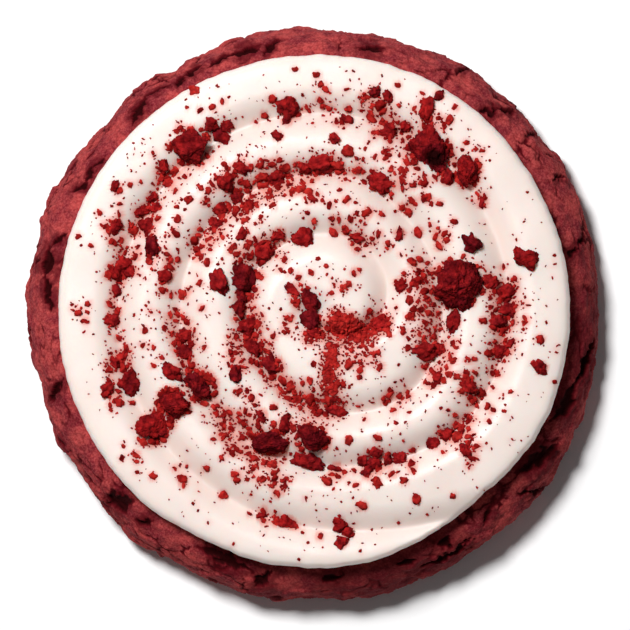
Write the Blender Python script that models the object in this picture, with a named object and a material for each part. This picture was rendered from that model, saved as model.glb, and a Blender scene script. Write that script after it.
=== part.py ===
"""Red velvet cheesecake cookie: a thick round cookie, a swirl of cream cheese icing piped on its top,
and crumbs of red velvet cake strewn over the icing. Metres, +Z up, standing on z = 0."""

import math
import random

import bmesh
import bpy
from mathutils import Matrix, Vector, noise

MM = 0.001
GAP = 0.3 * MM

# Cookie: a disc with a domed shoulder and an upright, slightly undercut side
COOKIE_RADIUS = 55.6 * MM
COOKIE_HEIGHT = 15.0 * MM
WIDEST_AT = 5.0 * MM
RIM_DEPTH = 6.0 * MM
SHOULDER_ROUNDNESS = 2.0
FOOT_ROUNDNESS = 3.0
COOKIE_STEPS = 144
SHOULDER_ROWS = 9
FOOT_ROWS = 4

# The baked outline swells and dips: angle, how far out of round in mm
OUTLINE = (
    (0, 0.3),
    (20, 0.7),
    (31, 1.2),
    (38, 0.6),
    (45, 1.0),
    (50, 0.6),
    (57, 1.3),
    (64, 0.5),
    (70, 0.4),
    (78, -0.3),
    (95, 0.2),
    (110, -0.4),
    (120, -1.3),
    (124, 0.0),
    (131, -0.1),
    (138, -0.8),
    (158, 0.5),
    (166, -0.5),
    (171, 0.3),
    (190, -0.1),
    (195, -0.7),
    (208, 0.1),
    (213, -0.6),
    (229, 0.6),
    (242, 0.2),
    (261, 1.0),
    (269, 0.1),
    (281, 1.0),
    (294, 0.3),
    (298, 0.8),
    (304, 0.5),
    (322, 1.3),
    (338, 0.8),
    (360, 0.3),
)
SWELL_FULL_TO = math.radians(150)

# Fissures in the shoulder, as seen from above: angle and radius in mm of both ends, depth in mm
FISSURES = (
    (12.4, 50.6, 13.6, 53.2, 1.6),
    (13.6, 53.2, 16.0, 54.6, 1.0),
    (28.2, 55.2, 28.8, 52.4, 1.0),
    (38.2, 55.8, 40.0, 53.4, 0.8),
    (44.6, 55.0, 47.2, 53.2, 1.2),
    (47.2, 53.2, 50.8, 50.9, 1.8),
    (57.0, 56.0, 58.6, 53.4, 1.2),
    (60.0, 54.4, 60.6, 51.8, 0.9),
    (75.0, 53.6, 80.0, 52.2, 1.3),
    (97.0, 53.6, 100.6, 51.3, 1.3),
    (101.6, 52.6, 107.0, 53.2, 1.8),
    (107.0, 53.2, 113.0, 52.6, 1.1),
    (113.6, 53.5, 118.6, 53.2, 1.6),
    (118.6, 53.2, 121.4, 51.9, 1.2),
    (122.0, 52.6, 128.0, 53.4, 1.1),
    (128.0, 53.4, 134.4, 50.8, 1.6),
    (136.6, 54.4, 143.0, 54.9, 0.5),
    (143.0, 50.6, 150.0, 51.2, 1.3),
    (150.0, 51.2, 153.2, 52.5, 1.5),
    (161.4, 50.6, 166.0, 53.2, 1.4),
    (166.0, 53.2, 172.4, 52.0, 1.9),
    (168.4, 54.2, 170.8, 55.2, 1.4),
    (172.4, 52.0, 179.6, 51.0, 1.5),
    (195.2, 50.4, 198.4, 54.6, 1.7),
    (204.0, 55.2, 210.0, 54.8, 1.0),
    (221.0, 52.6, 227.0, 53.2, 1.6),
    (223.6, 54.4, 226.2, 50.6, 1.6),
    (229.4, 52.2, 232.4, 50.6, 1.3),
    (244.0, 50.2, 257.0, 51.2, 1.5),
    (258.4, 53.4, 260.2, 51.0, 1.7),
    (272.0, 52.8, 276.6, 50.6, 1.4),
    (288.4, 51.6, 292.4, 52.4, 1.2),
    (293.0, 54.0, 305.0, 53.6, 1.2),
    (299.0, 52.6, 301.4, 50.6, 1.6),
    (308.6, 53.0, 313.4, 51.2, 1.0),
    (318.6, 52.8, 324.0, 55.6, 1.2),
    (322.0, 50.4, 331.4, 53.2, 1.7),
    (335.6, 50.8, 344.6, 53.0, 1.7),
    (344.6, 53.0, 354.0, 54.8, 1.7),
)
FISSURE_REACH = 1.7 * MM
CRAG_HEIGHT = 0.45 * MM
CRAG_SIZE = 5.0 * MM
CRAG_OCTAVES = 3
CRAG_FALL = 0.9
CRAG_LACUNARITY = 2.1

# Fissures down the side, drawn at random: the turns on the rim's section where they start and end
SIDE_FISSURES = 26
SIDE_FISSURE_SEED = 5
SIDE_FISSURE_DEPTH = (0.7 * MM, 1.3 * MM)
SIDE_FISSURE_START = (78, 100)
SIDE_FISSURE_END = (112, 150)
SIDE_FISSURE_LEAN = 5.0
SIDE_FISSURE_STRAY = 0.4

# Icing: one rope wound outwards anticlockwise, so that its ends and grooves form a spiral
ICING_RADIUS = 49.8 * MM
ICING_CENTRE = Vector((0.3 * MM, 0.2 * MM, 0.0))
GROOVE_HEIGHT = 4.0 * MM
GROOVE_ROUNDING = 0.8 * MM
ROPE_RISE = 2.3 * MM
ROPE_FLANK = 5.4 * MM
ROPE_CROWN = 0.5 * MM
MIDDLE_RISE = 1.6 * MM
LUMP_HEIGHT = 0.35 * MM
LUMP_SIZE = 11.0 * MM
EDGE_ROLL = 1.0 * MM
EDGE_FULLNESS = 3.0 * MM
EDGE_HEIGHT = 2.6 * MM
EDGE_TUCK = 1.1 * MM
EDGE_ROLL_SHARE = 0.1
HALF_TUCKED = 0.3 * EDGE_TUCK, 0.45 * EDGE_HEIGHT
ICING_CELLS = 44

# The icing's edge is not quite round: angle, half width, how far out in mm. It draws in most where
# the rope's tail runs out against it
EDGE_SWELLS = (
    (66, 40, 0.5),
    (244, 15, -0.6),
    (309, 28, -1.3),
    (313, 3, -0.3),
)
TAIL_ANGLE = 312

# The groove starts shallow at the tail: share of its depth that is missing, degrees until it is full
TAIL_FILL = 0.7
TAIL_FADE = 60.0

# How the groove winds inwards, clockwise from the tail: degrees turned, radius in mm
GROOVE = (
    (0, 50.6),
    (15, 46.4),
    (30, 43.3),
    (50, 41.2),
    (70, 39.6),
    (100, 38.5),
    (140, 38.0),
    (180, 38.1),
    (220, 38.6),
    (250, 38.8),
    (285, 38.2),
    (320, 37.4),
    (345, 36.4),
    (365, 33.8),
    (380, 31.5),
    (400, 29.9),
    (425, 28.4),
    (450, 26.8),
    (480, 26.0),
    (560, 26.5),
    (600, 27.0),
    (630, 25.4),
    (705, 24.6),
    (725, 22.8),
    (750, 19.8),
    (775, 17.0),
    (800, 14.2),
    (830, 13.0),
    (870, 13.6),
    (920, 14.4),
    (975, 16.0),
    (1010, 15.2),
    (1040, 12.4),
    (1065, 8.0),
    (1090, 3.5),
    (1115, 0.0),
)
TURNS_OF_GROOVE = 4

# Large crumbs, each a piece of its own: centre x and y, length, width and height in mm, turn
LARGE_CRUMBS = {
    "crumb_right": (28.3, 6.0, 9.6, 8.8, 6.6, 80),
    "crumb_top_right": (22.9, 31.3, 10.2, 7.2, 6.0, 120),
    "crumb_top_right_small": (30.0, 27.8, 6.2, 4.6, 4.6, 105),
    "crumb_top_left": (-23.6, 32.4, 7.9, 6.6, 5.0, -12),
    "crumb_lower_left": (-22.0, -14.0, 6.2, 4.8, 4.4, 155),
    "crumb_heart_upper": (-26.9, -17.6, 6.6, 4.4, 4.5, 155),
    "crumb_heart_lower": (-30.6, -22.2, 7.4, 5.2, 4.8, 28),
    "crumb_bottom_left": (-8.3, -25.1, 7.4, 4.0, 4.2, 5),
    "crumb_bottom": (0.0, -24.5, 6.1, 4.8, 4.4, 170),
}
LARGE_CRUMB_CLEARANCE = 0.75 * MM
LARGE_CRUMB_SEAT_SHARE = 0.4
LARGE_CRUMB_CUTS = 2
LARGE_CRUMB_SEED = 100
CRUMB_ROUGHNESS = 0.34
CRUMB_BOXINESS = 3.2
CRUMB_LEAN = Vector((-0.3, 0.5))
CRUMB_GRAIN = 1.6
CRUMB_VARIETY = Vector((3.7, 1.3, 2.1))
CRUMB_SEAT_SHARE = 0.12
CRUMB_MARGIN = 0.9 * MM

# Smaller crumbs that stick to the icing: centre x and y, length and width in mm, turn
MEDIUM_CRUMBS = (
    (-19.7, 36.5, 3.0, 2.8, 0),
    (-17.6, 34.1, 5.0, 3.0, -40),
    (-29.0, 28.3, 3.0, 2.2, 100),
    (-33.2, 19.7, 3.2, 2.4, 0),
    (-32.2, 16.8, 3.6, 3.2, 0),
    (-38.1, 16.6, 3.0, 2.6, 20),
    (-16.9, 25.3, 3.5, 3.3, 0),
    (-17.9, 20.1, 3.1, 2.6, 30),
    (-18.5, 17.1, 3.0, 2.5, 0),
    (-14.6, 22.4, 3.0, 2.8, 100),
    (-13.7, 28.1, 3.8, 2.4, -30),
    (-6.8, 26.0, 3.8, 3.4, 40),
    (1.7, 28.8, 5.0, 3.2, 5),
    (-0.1, 22.2, 2.8, 1.4, -40),
    (-4.6, 40.5, 5.6, 4.2, 35),
    (6.7, 37.5, 2.8, 2.5, 0),
    (14.6, 34.8, 4.2, 3.0, 20),
    (18.0, 36.2, 2.8, 2.2, 30),
    (13.0, 25.1, 5.4, 4.0, -15),
    (22.3, 39.7, 5.0, 3.0, 80),
    (24.5, 42.1, 2.8, 1.8, 20),
    (26.3, 25.8, 4.0, 2.4, 60),
    (30.9, 13.2, 4.2, 3.8, 20),
    (16.8, 15.3, 3.4, 1.7, 85),
    (8.8, 14.6, 3.4, 2.2, -20),
    (-1.7, 14.2, 4.6, 4.2, 20),
    (17.4, 5.2, 3.4, 2.4, 0),
    (41.4, 10.4, 5.4, 4.2, 170),
    (34.7, 6.0, 3.4, 2.8, 0),
    (37.5, 3.8, 4.4, 3.8, 20),
    (38.3, 0.6, 5.0, 3.2, -20),
    (36.1, -1.8, 3.6, 2.4, 10),
    (27.4, -2.0, 5.4, 3.2, 80),
    (21.6, -7.4, 5.6, 3.4, 5),
    (25.1, -7.1, 3.2, 2.4, 0),
    (36.6, -7.6, 3.0, 2.8, 0),
    (44.4, -10.6, 3.3, 2.6, -30),
    (24.2, -12.9, 2.8, 2.2, 70),
    (30.3, -14.2, 4.0, 2.8, -35),
    (26.3, -23.7, 3.0, 2.8, 60),
    (29.6, -26.6, 3.6, 2.3, 105),
    (23.4, -25.4, 3.7, 2.6, -38),
    (12.0, -29.6, 3.2, 2.6, 0),
    (17.0, -28.4, 3.2, 2.6, 10),
    (10.6, -31.0, 2.8, 2.0, 40),
    (5.2, -41.1, 3.4, 3.0, 20),
    (6.9, -42.7, 3.2, 2.8, 100),
    (5.6, -44.6, 3.2, 2.6, 60),
    (-5.3, -21.4, 4.4, 2.2, 80),
    (-0.9, -28.8, 7.2, 3.6, 172),
    (4.5, -30.3, 3.4, 1.6, -10),
    (-4.7, -40.7, 3.8, 2.6, 0),
    (-10.0, -19.9, 3.2, 1.6, -50),
    (4.7, -18.9, 4.8, 2.6, -20),
    (-7.9, -10.2, 4.4, 3.0, -55),
    (-11.2, -6.8, 4.2, 3.4, -40),
    (-12.6, -2.9, 4.4, 3.8, 70),
    (-30.9, 13.0, 4.6, 3.2, 90),
    (-37.0, 9.4, 4.2, 3.4, 30),
    (-38.6, 7.6, 3.0, 2.6, 0),
    (-38.1, 4.3, 2.8, 2.2, 90),
    (-39.1, -1.4, 3.4, 2.6, 20),
    (-36.6, -8.2, 2.8, 2.0, 30),
    (-38.6, -9.6, 2.8, 1.8, -40),
    (-28.6, 6.9, 2.8, 2.4, 0),
    (-24.7, -4.2, 3.6, 3.2, 0),
    (-24.7, -7.7, 4.8, 2.8, 20),
    (-27.3, -11.5, 4.6, 3.4, 160),
    (-35.2, -13.6, 5.3, 4.8, 30),
    (-39.8, -15.0, 3.6, 2.8, 100),
    (-14.9, -11.9, 3.6, 2.4, 90),
    (-13.5, 6.8, 5.6, 4.7, 70),
    (-13.9, 3.3, 3.4, 2.6, 80),
    (-18.1, 5.8, 5.4, 3.7, 118),
    (-14.4, 0.6, 3.6, 2.8, 80),
    (-9.6, 11.6, 4.4, 3.4, 40),
    (-10.2, 13.4, 2.8, 1.6, 30),
    (-13.7, 15.2, 3.0, 2.0, 60),
    (-6.8, 14.9, 3.2, 1.5, 10),
    (-3.9, 4.4, 3.8, 1.8, -45),
    (-0.2, 2.0, 4.8, 3.9, 100),
    (-0.3, -1.7, 4.6, 4.0, 80),
    (0.1, -4.1, 3.2, 2.0, 10),
    (13.2, -2.2, 4.2, 3.6, 20),
)
MEDIUM_CRUMB_HEIGHT_SHARE = 0.9
MEDIUM_CRUMB_CUTS = 1

COOKIE_COLOUR = (0.26, 0.022, 0.026)
ICING_COLOUR = (0.90, 0.80, 0.74)
CRUMB_COLOUR = (0.28, 0.012, 0.018)
COOKIE_DULLNESS = 0.85
ICING_DULLNESS = 0.45
CRUMB_DULLNESS = 0.8
SHARP_EDGE = math.radians(40)


def clear_scene():
    for thing in list(bpy.data.objects):
        bpy.data.objects.remove(thing, do_unlink=True)


def make_material(name, colour, roughness):
    material = bpy.data.materials.new(name)
    material.use_nodes = True
    shader = material.node_tree.nodes["Principled BSDF"]
    shader.inputs["Base Color"].default_value = (*colour, 1.0)
    shader.inputs["Roughness"].default_value = roughness
    shader.inputs["Metallic"].default_value = 0.0
    return material


def make_object(name, bm, material, collection=None):
    mesh = bpy.data.meshes.new(name)
    bm.to_mesh(mesh)
    bm.free()
    mesh.materials.append(material)
    mesh.shade_smooth()
    mesh.set_sharp_from_angle(angle=SHARP_EDGE)
    made = bpy.data.objects.new(name, mesh)
    (collection or bpy.context.scene.collection).objects.link(made)
    return made


def hump(distance, reach):
    """1 at no distance, falling smoothly to 0 at the reach."""
    share = min(1.0, abs(distance) / reach)
    return (1.0 - share * share) ** 2


def angle_gap(a, b):
    return (a - b + 180.0) % 360.0 - 180.0


def smooth_value(knots, at):
    """The value between hand-set knots, on a smooth curve through them."""
    if at <= knots[0][0]:
        return knots[0][1]
    if at >= knots[-1][0]:
        return knots[-1][1]
    index = max(i for i, knot in enumerate(knots) if knot[0] <= at)

    def slope(i):
        before = knots[max(0, i - 1)]
        after = knots[min(len(knots) - 1, i + 1)]
        return (after[1] - before[1]) / (after[0] - before[0])

    x0, y0 = knots[index]
    x1, y1 = knots[index + 1]
    width = x1 - x0
    s = (at - x0) / width
    start = (1 + 2 * s) * (1 - s) ** 2 * y0 + s * (1 - s) ** 2 * width * slope(index)
    end = s * s * (3 - 2 * s) * y1 - s * s * (1 - s) * width * slope(index + 1)
    return start + end


# Cookie


def rim_point(turn):
    """Radius and height on the rim's section, from the flat top (0 degrees) to the foot (180)."""
    out = math.sin(turn)
    up = math.cos(turn)
    power = 2.0 / (SHOULDER_ROUNDNESS if up >= 0 else FOOT_ROUNDNESS)
    radius = COOKIE_RADIUS - RIM_DEPTH + RIM_DEPTH * abs(out) ** power
    reach = COOKIE_HEIGHT - WIDEST_AT if up >= 0 else WIDEST_AT
    return radius, WIDEST_AT + math.copysign(reach * abs(up) ** power, up)


def rim_turn(radius, height):
    """The turn of a point on the rim's section: rim_point the other way round."""
    up = height - WIDEST_AT
    power = (SHOULDER_ROUNDNESS if up >= 0 else FOOT_ROUNDNESS) / 2.0
    reach = COOKIE_HEIGHT - WIDEST_AT if up >= 0 else WIDEST_AT
    out_share = max(0.0, (radius - COOKIE_RADIUS + RIM_DEPTH) / RIM_DEPTH) ** power
    return math.atan2(out_share, math.copysign(min(1.0, abs(up) / reach) ** power, up))


def unrolled(angle, turn):
    """Where a point of the rim lies when the rim is rolled out flat."""
    return Vector((math.radians(angle) * COOKIE_RADIUS, turn * (RIM_DEPTH + WIDEST_AT) / 2))


def shoulder_turn(radius_mm):
    share = (radius_mm * MM - COOKIE_RADIUS + RIM_DEPTH) / RIM_DEPTH
    return math.asin(min(1.0, max(0.0, share)))


def all_fissures():
    """Each fissure as its middle angle, its two ends rolled out about that angle, and its depth."""
    found = []
    for angle_a, radius_a, angle_b, radius_b, depth in FISSURES:
        middle = (angle_a + angle_b) / 2
        start = unrolled(angle_a - middle, shoulder_turn(radius_a))
        end = unrolled(angle_b - middle, shoulder_turn(radius_b))
        found.append((middle, start, end, depth * MM))
    draw = random.Random(SIDE_FISSURE_SEED)
    for index in range(SIDE_FISSURES):
        stray = draw.uniform(-SIDE_FISSURE_STRAY, SIDE_FISSURE_STRAY)
        lean = draw.uniform(-SIDE_FISSURE_LEAN, SIDE_FISSURE_LEAN)
        start = unrolled(-lean, math.radians(draw.uniform(*SIDE_FISSURE_START)))
        end = unrolled(lean, math.radians(draw.uniform(*SIDE_FISSURE_END)))
        middle = (index + stray) * 360.0 / SIDE_FISSURES
        found.append((middle, start, end, draw.uniform(*SIDE_FISSURE_DEPTH)))
    return found


def distance_to_line(point, start, end):
    along = end - start
    share = (point - start).dot(along) / along.length_squared
    return (point - start - along * min(1.0, max(0.0, share))).length


def fissure_depth(angle, turn, fissures):
    deepest = 0.0
    for middle, start, end, depth in fissures:
        distance = distance_to_line(unrolled(angle_gap(angle, middle), turn), start, end)
        deepest = max(deepest, depth * hump(distance, FISSURE_REACH))
    return deepest


def outline_swell(angle):
    return smooth_value(OUTLINE, angle % 360.0) * MM


def shape_rim(bm):
    """Moves the rim's points out of the plain turned shape: swells, crags and fissures."""
    fissures = all_fissures()
    for vert in bm.verts:
        radius = math.hypot(vert.co.x, vert.co.y)
        turn = rim_turn(radius, vert.co.z)
        angle = math.degrees(math.atan2(vert.co.y, vert.co.x))
        outwards = Vector((vert.co.x / radius, vert.co.y / radius, 0.0))
        from_core = outwards * math.sin(turn) + Vector((0.0, 0.0, math.cos(turn)))
        crag = noise.fractal(vert.co / CRAG_SIZE, CRAG_FALL, CRAG_LACUNARITY, CRAG_OCTAVES)
        relief = CRAG_HEIGHT * crag - fissure_depth(angle, turn, fissures)
        vert.co += from_core * relief * math.sqrt(max(0.0, math.sin(turn)))
        vert.co += outwards * outline_swell(angle) * math.sin(min(turn, SWELL_FULL_TO))


def build_cookie(material):
    bm = bmesh.new()
    turns = [math.pi / 2 * row / SHOULDER_ROWS for row in range(SHOULDER_ROWS)]
    turns += [math.pi / 2 * (1 + row / FOOT_ROWS) for row in range(FOOT_ROWS + 1)]
    section = []
    for turn in turns:
        radius, height = rim_point(turn)
        section.append(bm.verts.new((radius, 0.0, height)))
    edges = [bm.edges.new(pair) for pair in zip(section, section[1:])]
    bmesh.ops.spin(
        bm,
        geom=section + edges,
        cent=(0.0, 0.0, 0.0),
        axis=(0.0, 0.0, 1.0),
        angle=math.tau,
        steps=COOKIE_STEPS,
        use_merge=True,
    )
    bmesh.ops.remove_doubles(bm, verts=bm.verts, dist=0.01 * MM)
    bmesh.ops.holes_fill(bm, edges=[edge for edge in bm.edges if edge.is_boundary], sides=0)
    bmesh.ops.recalc_face_normals(bm, faces=bm.faces)
    shape_rim(bm)
    return make_object("cookie", bm, material)


# Icing


def edge_radius(angle):
    swells = (out * MM * hump(angle_gap(angle, at), reach) for at, reach, out in EDGE_SWELLS)
    return ICING_RADIUS + sum(swells)


def rope_between(radius, angle):
    """The two grooves, or the groove and the edge, that the rope lies between at this place."""
    turned = (TAIL_ANGLE - angle) % 360.0
    outer = edge_radius(angle) + EDGE_FULLNESS
    for turn in range(TURNS_OF_GROOVE):
        inner = max(0.0, smooth_value(GROOVE, turned + 360.0 * turn) * MM)
        if radius >= inner:
            return inner, outer
        outer = inner
    return 0.0, outer


def rounded_off(distance):
    """A distance from the groove, flattened near it so that the groove's bottom is round."""
    return math.hypot(distance, GROOVE_ROUNDING) - GROOVE_ROUNDING


def tail_fill(angle, groove):
    """How much higher a groove lies here: only its first stretch does, next to the rope's tail."""
    turned = (TAIL_ANGLE - angle) % 360.0
    if groove != smooth_value(GROOVE, turned) * MM:
        return 0.0
    flank = min(ROPE_FLANK, max(0.0, edge_radius(angle) + EDGE_FULLNESS - groove) / 2)
    return TAIL_FILL * max(0.0, 1.0 - turned / TAIL_FADE) * ROPE_RISE * flank / ROPE_FLANK


def rope_height(radius, angle):
    """Height of the icing over the cookie's top, before its edge rolls down."""
    inner, outer = rope_between(radius, angle)
    width = max(outer - inner, 0.1 * MM)
    flank = min(ROPE_FLANK, width / 2)
    nearest = min(radius - inner, outer - radius)
    fall = min(1.0, max(0.0, 1.0 - rounded_off(nearest) / rounded_off(flank)))
    fill = tail_fill(angle, inner if radius - inner == nearest else outer)
    crown = ROPE_CROWN * math.sin(math.pi * min(1.0, max(0.0, (radius - inner) / width)))
    rise = ROPE_RISE * flank / ROPE_FLANK * (1.0 - fall * fall) + fill * fall * fall + crown
    spot = Vector((radius * math.cos(math.radians(angle)), radius * math.sin(math.radians(angle)), 0.0))
    lump = LUMP_HEIGHT * noise.noise(spot / LUMP_SIZE)
    middle = MIDDLE_RISE * (1.0 - (radius / ICING_RADIUS) ** 2)
    return GROOVE_HEIGHT + middle + rise + lump


def icing_height(x, y):
    """Height of the icing's surface in the part's frame."""
    place = Vector((x, y, 0.0)) - ICING_CENTRE
    angle = math.degrees(math.atan2(place.y, place.x))
    edge = edge_radius(angle)
    radius = min(place.length, edge)
    rolled = max(0.0, radius - edge + EDGE_ROLL) / EDGE_ROLL
    return rolled_height(radius, angle, math.sqrt(max(0.0, 1.0 - rolled * rolled)))


def rolled_height(radius, angle, upright):
    """The rope's height where its edge rolls down: upright falls from 1 on top to 0 at the side."""
    height = EDGE_HEIGHT + (rope_height(radius, angle) - EDGE_HEIGHT) * upright
    return COOKIE_HEIGHT + GAP + height


def icing_point(share, angle):
    """A point of the icing's upper surface, from its middle (share 0) to its widest line (1)."""
    start = edge_radius(angle) - EDGE_ROLL
    flat_share = 1.0 - EDGE_ROLL_SHARE
    roll = math.pi / 2 * max(0.0, share - flat_share) / EDGE_ROLL_SHARE
    radius = start * min(1.0, share / flat_share) + EDGE_ROLL * math.sin(roll)
    return ring_point(radius, angle, rolled_height(radius, angle, math.cos(roll)))


def ring_point(radius, angle, height):
    turn = math.radians(angle)
    return Vector((radius * math.cos(turn), radius * math.sin(turn), height)) + ICING_CENTRE


def square_to_disc(u, v):
    """Even mapping of a square onto a disc: share of the radius, and angle in degrees."""
    if u == 0 and v == 0:
        return 0.0, 0.0
    if abs(u) >= abs(v):
        return abs(u), 45.0 * v / u + (0.0 if u > 0 else 180.0)
    return abs(v), 90.0 - 45.0 * u / v + (0.0 if v > 0 else 180.0)


def tuck_edge(bm, inwards, height):
    """Draws the open edge down and inwards by one row."""
    rim = [edge for edge in bm.edges if edge.is_boundary]
    grown = bmesh.ops.extrude_edge_only(bm, edges=rim)["geom"]
    for vert in (item for item in grown if isinstance(item, bmesh.types.BMVert)):
        place = vert.co - ICING_CENTRE
        angle = math.degrees(math.atan2(place.y, place.x))
        vert.co = ring_point(edge_radius(angle) - inwards, angle, COOKIE_HEIGHT + GAP + height)


def icing_body(material):
    bm = bmesh.new()
    bmesh.ops.create_grid(bm, x_segments=ICING_CELLS, y_segments=ICING_CELLS, size=1.0)
    for vert in bm.verts:
        vert.co = icing_point(*square_to_disc(vert.co.x, vert.co.y))
    tuck_edge(bm, *HALF_TUCKED)
    tuck_edge(bm, EDGE_TUCK, 0.0)
    bmesh.ops.holes_fill(bm, edges=[edge for edge in bm.edges if edge.is_boundary], sides=0)
    bmesh.ops.recalc_face_normals(bm, faces=bm.faces)
    return make_object("icing", bm, material)


# Crumbs


def crumb_mesh(length, width, height, turn, subdivisions, seed):
    """A boxy, leaning lump that fills its length, width and height."""
    bm = bmesh.new()
    bmesh.ops.create_icosphere(bm, subdivisions=subdivisions, radius=1.0)
    for vert in bm.verts:
        boxed = sum(abs(value) ** CRUMB_BOXINESS for value in vert.co) ** (-1 / CRUMB_BOXINESS)
        bite = 0.5 + 0.5 * noise.noise(vert.co * CRUMB_GRAIN + CRUMB_VARIETY * seed)
        vert.co *= boxed * (1.0 - CRUMB_ROUGHNESS * bite)
    for axis, size in enumerate((length, width, height)):
        low = min(vert.co[axis] for vert in bm.verts)
        high = max(vert.co[axis] for vert in bm.verts)
        for vert in bm.verts:
            vert.co[axis] = size * ((vert.co[axis] - low) / (high - low) - 0.5)
    bmesh.ops.rotate(
        bm, verts=bm.verts, cent=(0, 0, 0), matrix=Matrix.Rotation(math.radians(turn), 3, "Z")
    )
    for vert in bm.verts:
        vert.co.xy += CRUMB_LEAN * vert.co.z
    return bm


def build_large_crumb(name, place, seed, material):
    x, y, length, width, height = (value * MM for value in place[:5])
    bm = crumb_mesh(length, width, height, place[5], LARGE_CRUMB_CUTS, seed)
    bmesh.ops.translate(bm, verts=bm.verts, vec=(x, y, 0.0))
    base = icing_height(x, y) + height * LARGE_CRUMB_SEAT_SHARE
    for vert in bm.verts:
        lowest = icing_height(vert.co.x, vert.co.y) + LARGE_CRUMB_CLEARANCE
        vert.co.z = max(base + vert.co.z, lowest + max(0.0, vert.co.z) / 2)
    return make_object(name, bm, material)


def reach_towards(length, width, turn, direction):
    """How far a boxy crumb reaches from its centre in a direction, in degrees."""
    off = math.radians(direction - turn)
    along = abs(math.cos(off)) / (length / 2)
    across = abs(math.sin(off)) / (width / 2)
    return (along**CRUMB_BOXINESS + across**CRUMB_BOXINESS) ** (-1 / CRUMB_BOXINESS)


def pushed_clear(x, y, length, width, turn):
    """A small crumb's place, moved off any large crumb that it would touch."""
    for big_x, big_y, big_length, big_width, _, big_turn in LARGE_CRUMBS.values():
        away = Vector((x - big_x * MM, y - big_y * MM))
        direction = math.degrees(math.atan2(away.y, away.x))
        needed = reach_towards(length, width, turn, direction) + CRUMB_MARGIN
        needed += reach_towards(big_length * MM, big_width * MM, big_turn, direction)
        if away.length < needed:
            away = away.normalized() * needed
            x = big_x * MM + away.x
            y = big_y * MM + away.y
    return x, y


def linked_verts(start):
    """All the points of the shell that a point belongs to."""
    found = {start}
    waiting = [start]
    while waiting:
        for edge in waiting.pop().link_edges:
            for vert in edge.verts:
                if vert not in found:
                    found.add(vert)
                    waiting.append(vert)
    return found


def keep_outer_shell(mesh):
    """Fills the small hollows that crumbs enclose, by dropping every shell but the largest."""
    bm = bmesh.new()
    bm.from_mesh(mesh)
    waiting = set(bm.verts)
    shells = []
    while waiting:
        shell = linked_verts(next(iter(waiting)))
        waiting -= shell
        shells.append(shell)
    outer = max(shells, key=len)
    bmesh.ops.delete(bm, geom=[vert for vert in bm.verts if vert not in outer], context="VERTS")
    bm.to_mesh(mesh)
    bm.free()


def fuse_crumbs(icing, material):
    """Joins every smaller crumb to the icing that it sticks to."""
    gathered = bpy.data.collections.new("loose_crumbs")
    bpy.context.scene.collection.children.link(gathered)
    for seed, place in enumerate(MEDIUM_CRUMBS):
        x, y, length, width = (value * MM for value in place[:4])
        turn = place[4]
        height = width * MEDIUM_CRUMB_HEIGHT_SHARE
        x, y = pushed_clear(x, y, length, width, turn)
        bm = crumb_mesh(length, width, height, turn, MEDIUM_CRUMB_CUTS, seed)
        base = icing_height(x, y) + height * CRUMB_SEAT_SHARE
        bmesh.ops.translate(bm, verts=bm.verts, vec=(x, y, base))
        make_object("loose_crumb", bm, material, gathered)
    join = icing.modifiers.new("crumbs", "BOOLEAN")
    join.operation = "UNION"
    join.solver = "EXACT"
    join.operand_type = "COLLECTION"
    join.collection = gathered
    bpy.context.view_layer.update()
    depsgraph = bpy.context.evaluated_depsgraph_get()
    fused = bpy.data.meshes.new_from_object(icing.evaluated_get(depsgraph))
    icing.modifiers.clear()
    icing.data = fused
    keep_outer_shell(icing.data)
    for crumb in list(gathered.objects):
        bpy.data.objects.remove(crumb, do_unlink=True)
    bpy.data.collections.remove(gathered)


def main():
    clear_scene()
    cookie_dough = make_material("red_velvet_cookie", COOKIE_COLOUR, COOKIE_DULLNESS)
    cream_cheese = make_material("cream_cheese_icing", ICING_COLOUR, ICING_DULLNESS)
    cake_crumb = make_material("red_velvet_crumb", CRUMB_COLOUR, CRUMB_DULLNESS)
    build_cookie(cookie_dough)
    icing = icing_body(cream_cheese)
    fuse_crumbs(icing, cake_crumb)
    for seed, (name, place) in enumerate(LARGE_CRUMBS.items()):
        build_large_crumb(name, place, LARGE_CRUMB_SEED + seed, cake_crumb)


main()
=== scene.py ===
"""Red velvet cheesecake cookie as it looks: a baked, cracked cookie, a swirl of cream cheese icing
piped on it, and crumbs of red velvet cake, from large chunks down to specks. Metres, +Z up."""

import math
import random

import bmesh
import bpy
import numpy as np
from mathutils import Matrix, Vector, noise


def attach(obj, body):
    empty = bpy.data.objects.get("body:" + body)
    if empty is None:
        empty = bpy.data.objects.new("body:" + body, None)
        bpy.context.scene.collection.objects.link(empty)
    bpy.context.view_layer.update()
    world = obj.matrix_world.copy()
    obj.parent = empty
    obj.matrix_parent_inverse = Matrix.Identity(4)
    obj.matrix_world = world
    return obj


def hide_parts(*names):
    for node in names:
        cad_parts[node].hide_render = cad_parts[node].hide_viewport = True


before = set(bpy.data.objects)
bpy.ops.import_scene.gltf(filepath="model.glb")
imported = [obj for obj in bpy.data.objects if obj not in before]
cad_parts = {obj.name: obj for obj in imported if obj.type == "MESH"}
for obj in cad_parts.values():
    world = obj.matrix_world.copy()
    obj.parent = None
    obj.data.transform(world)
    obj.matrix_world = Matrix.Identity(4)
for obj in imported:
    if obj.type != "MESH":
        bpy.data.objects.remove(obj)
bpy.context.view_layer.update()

MM = 0.001
GAP = 0.3 * MM

# Cookie, the same sizes as its solid
COOKIE_RADIUS = 55.6 * MM
COOKIE_HEIGHT = 15.0 * MM
WIDEST_AT = 5.0 * MM
RIM_DEPTH = 6.0 * MM
SHOULDER_ROUNDNESS = 2.0
FOOT_ROUNDNESS = 3.0
COOKIE_STEPS = 960
SHOULDER_ROWS = 50
FOOT_ROWS = 16
CORE_RINGS = (40.0 * MM, 20.0 * MM, 4.0 * MM)

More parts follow.
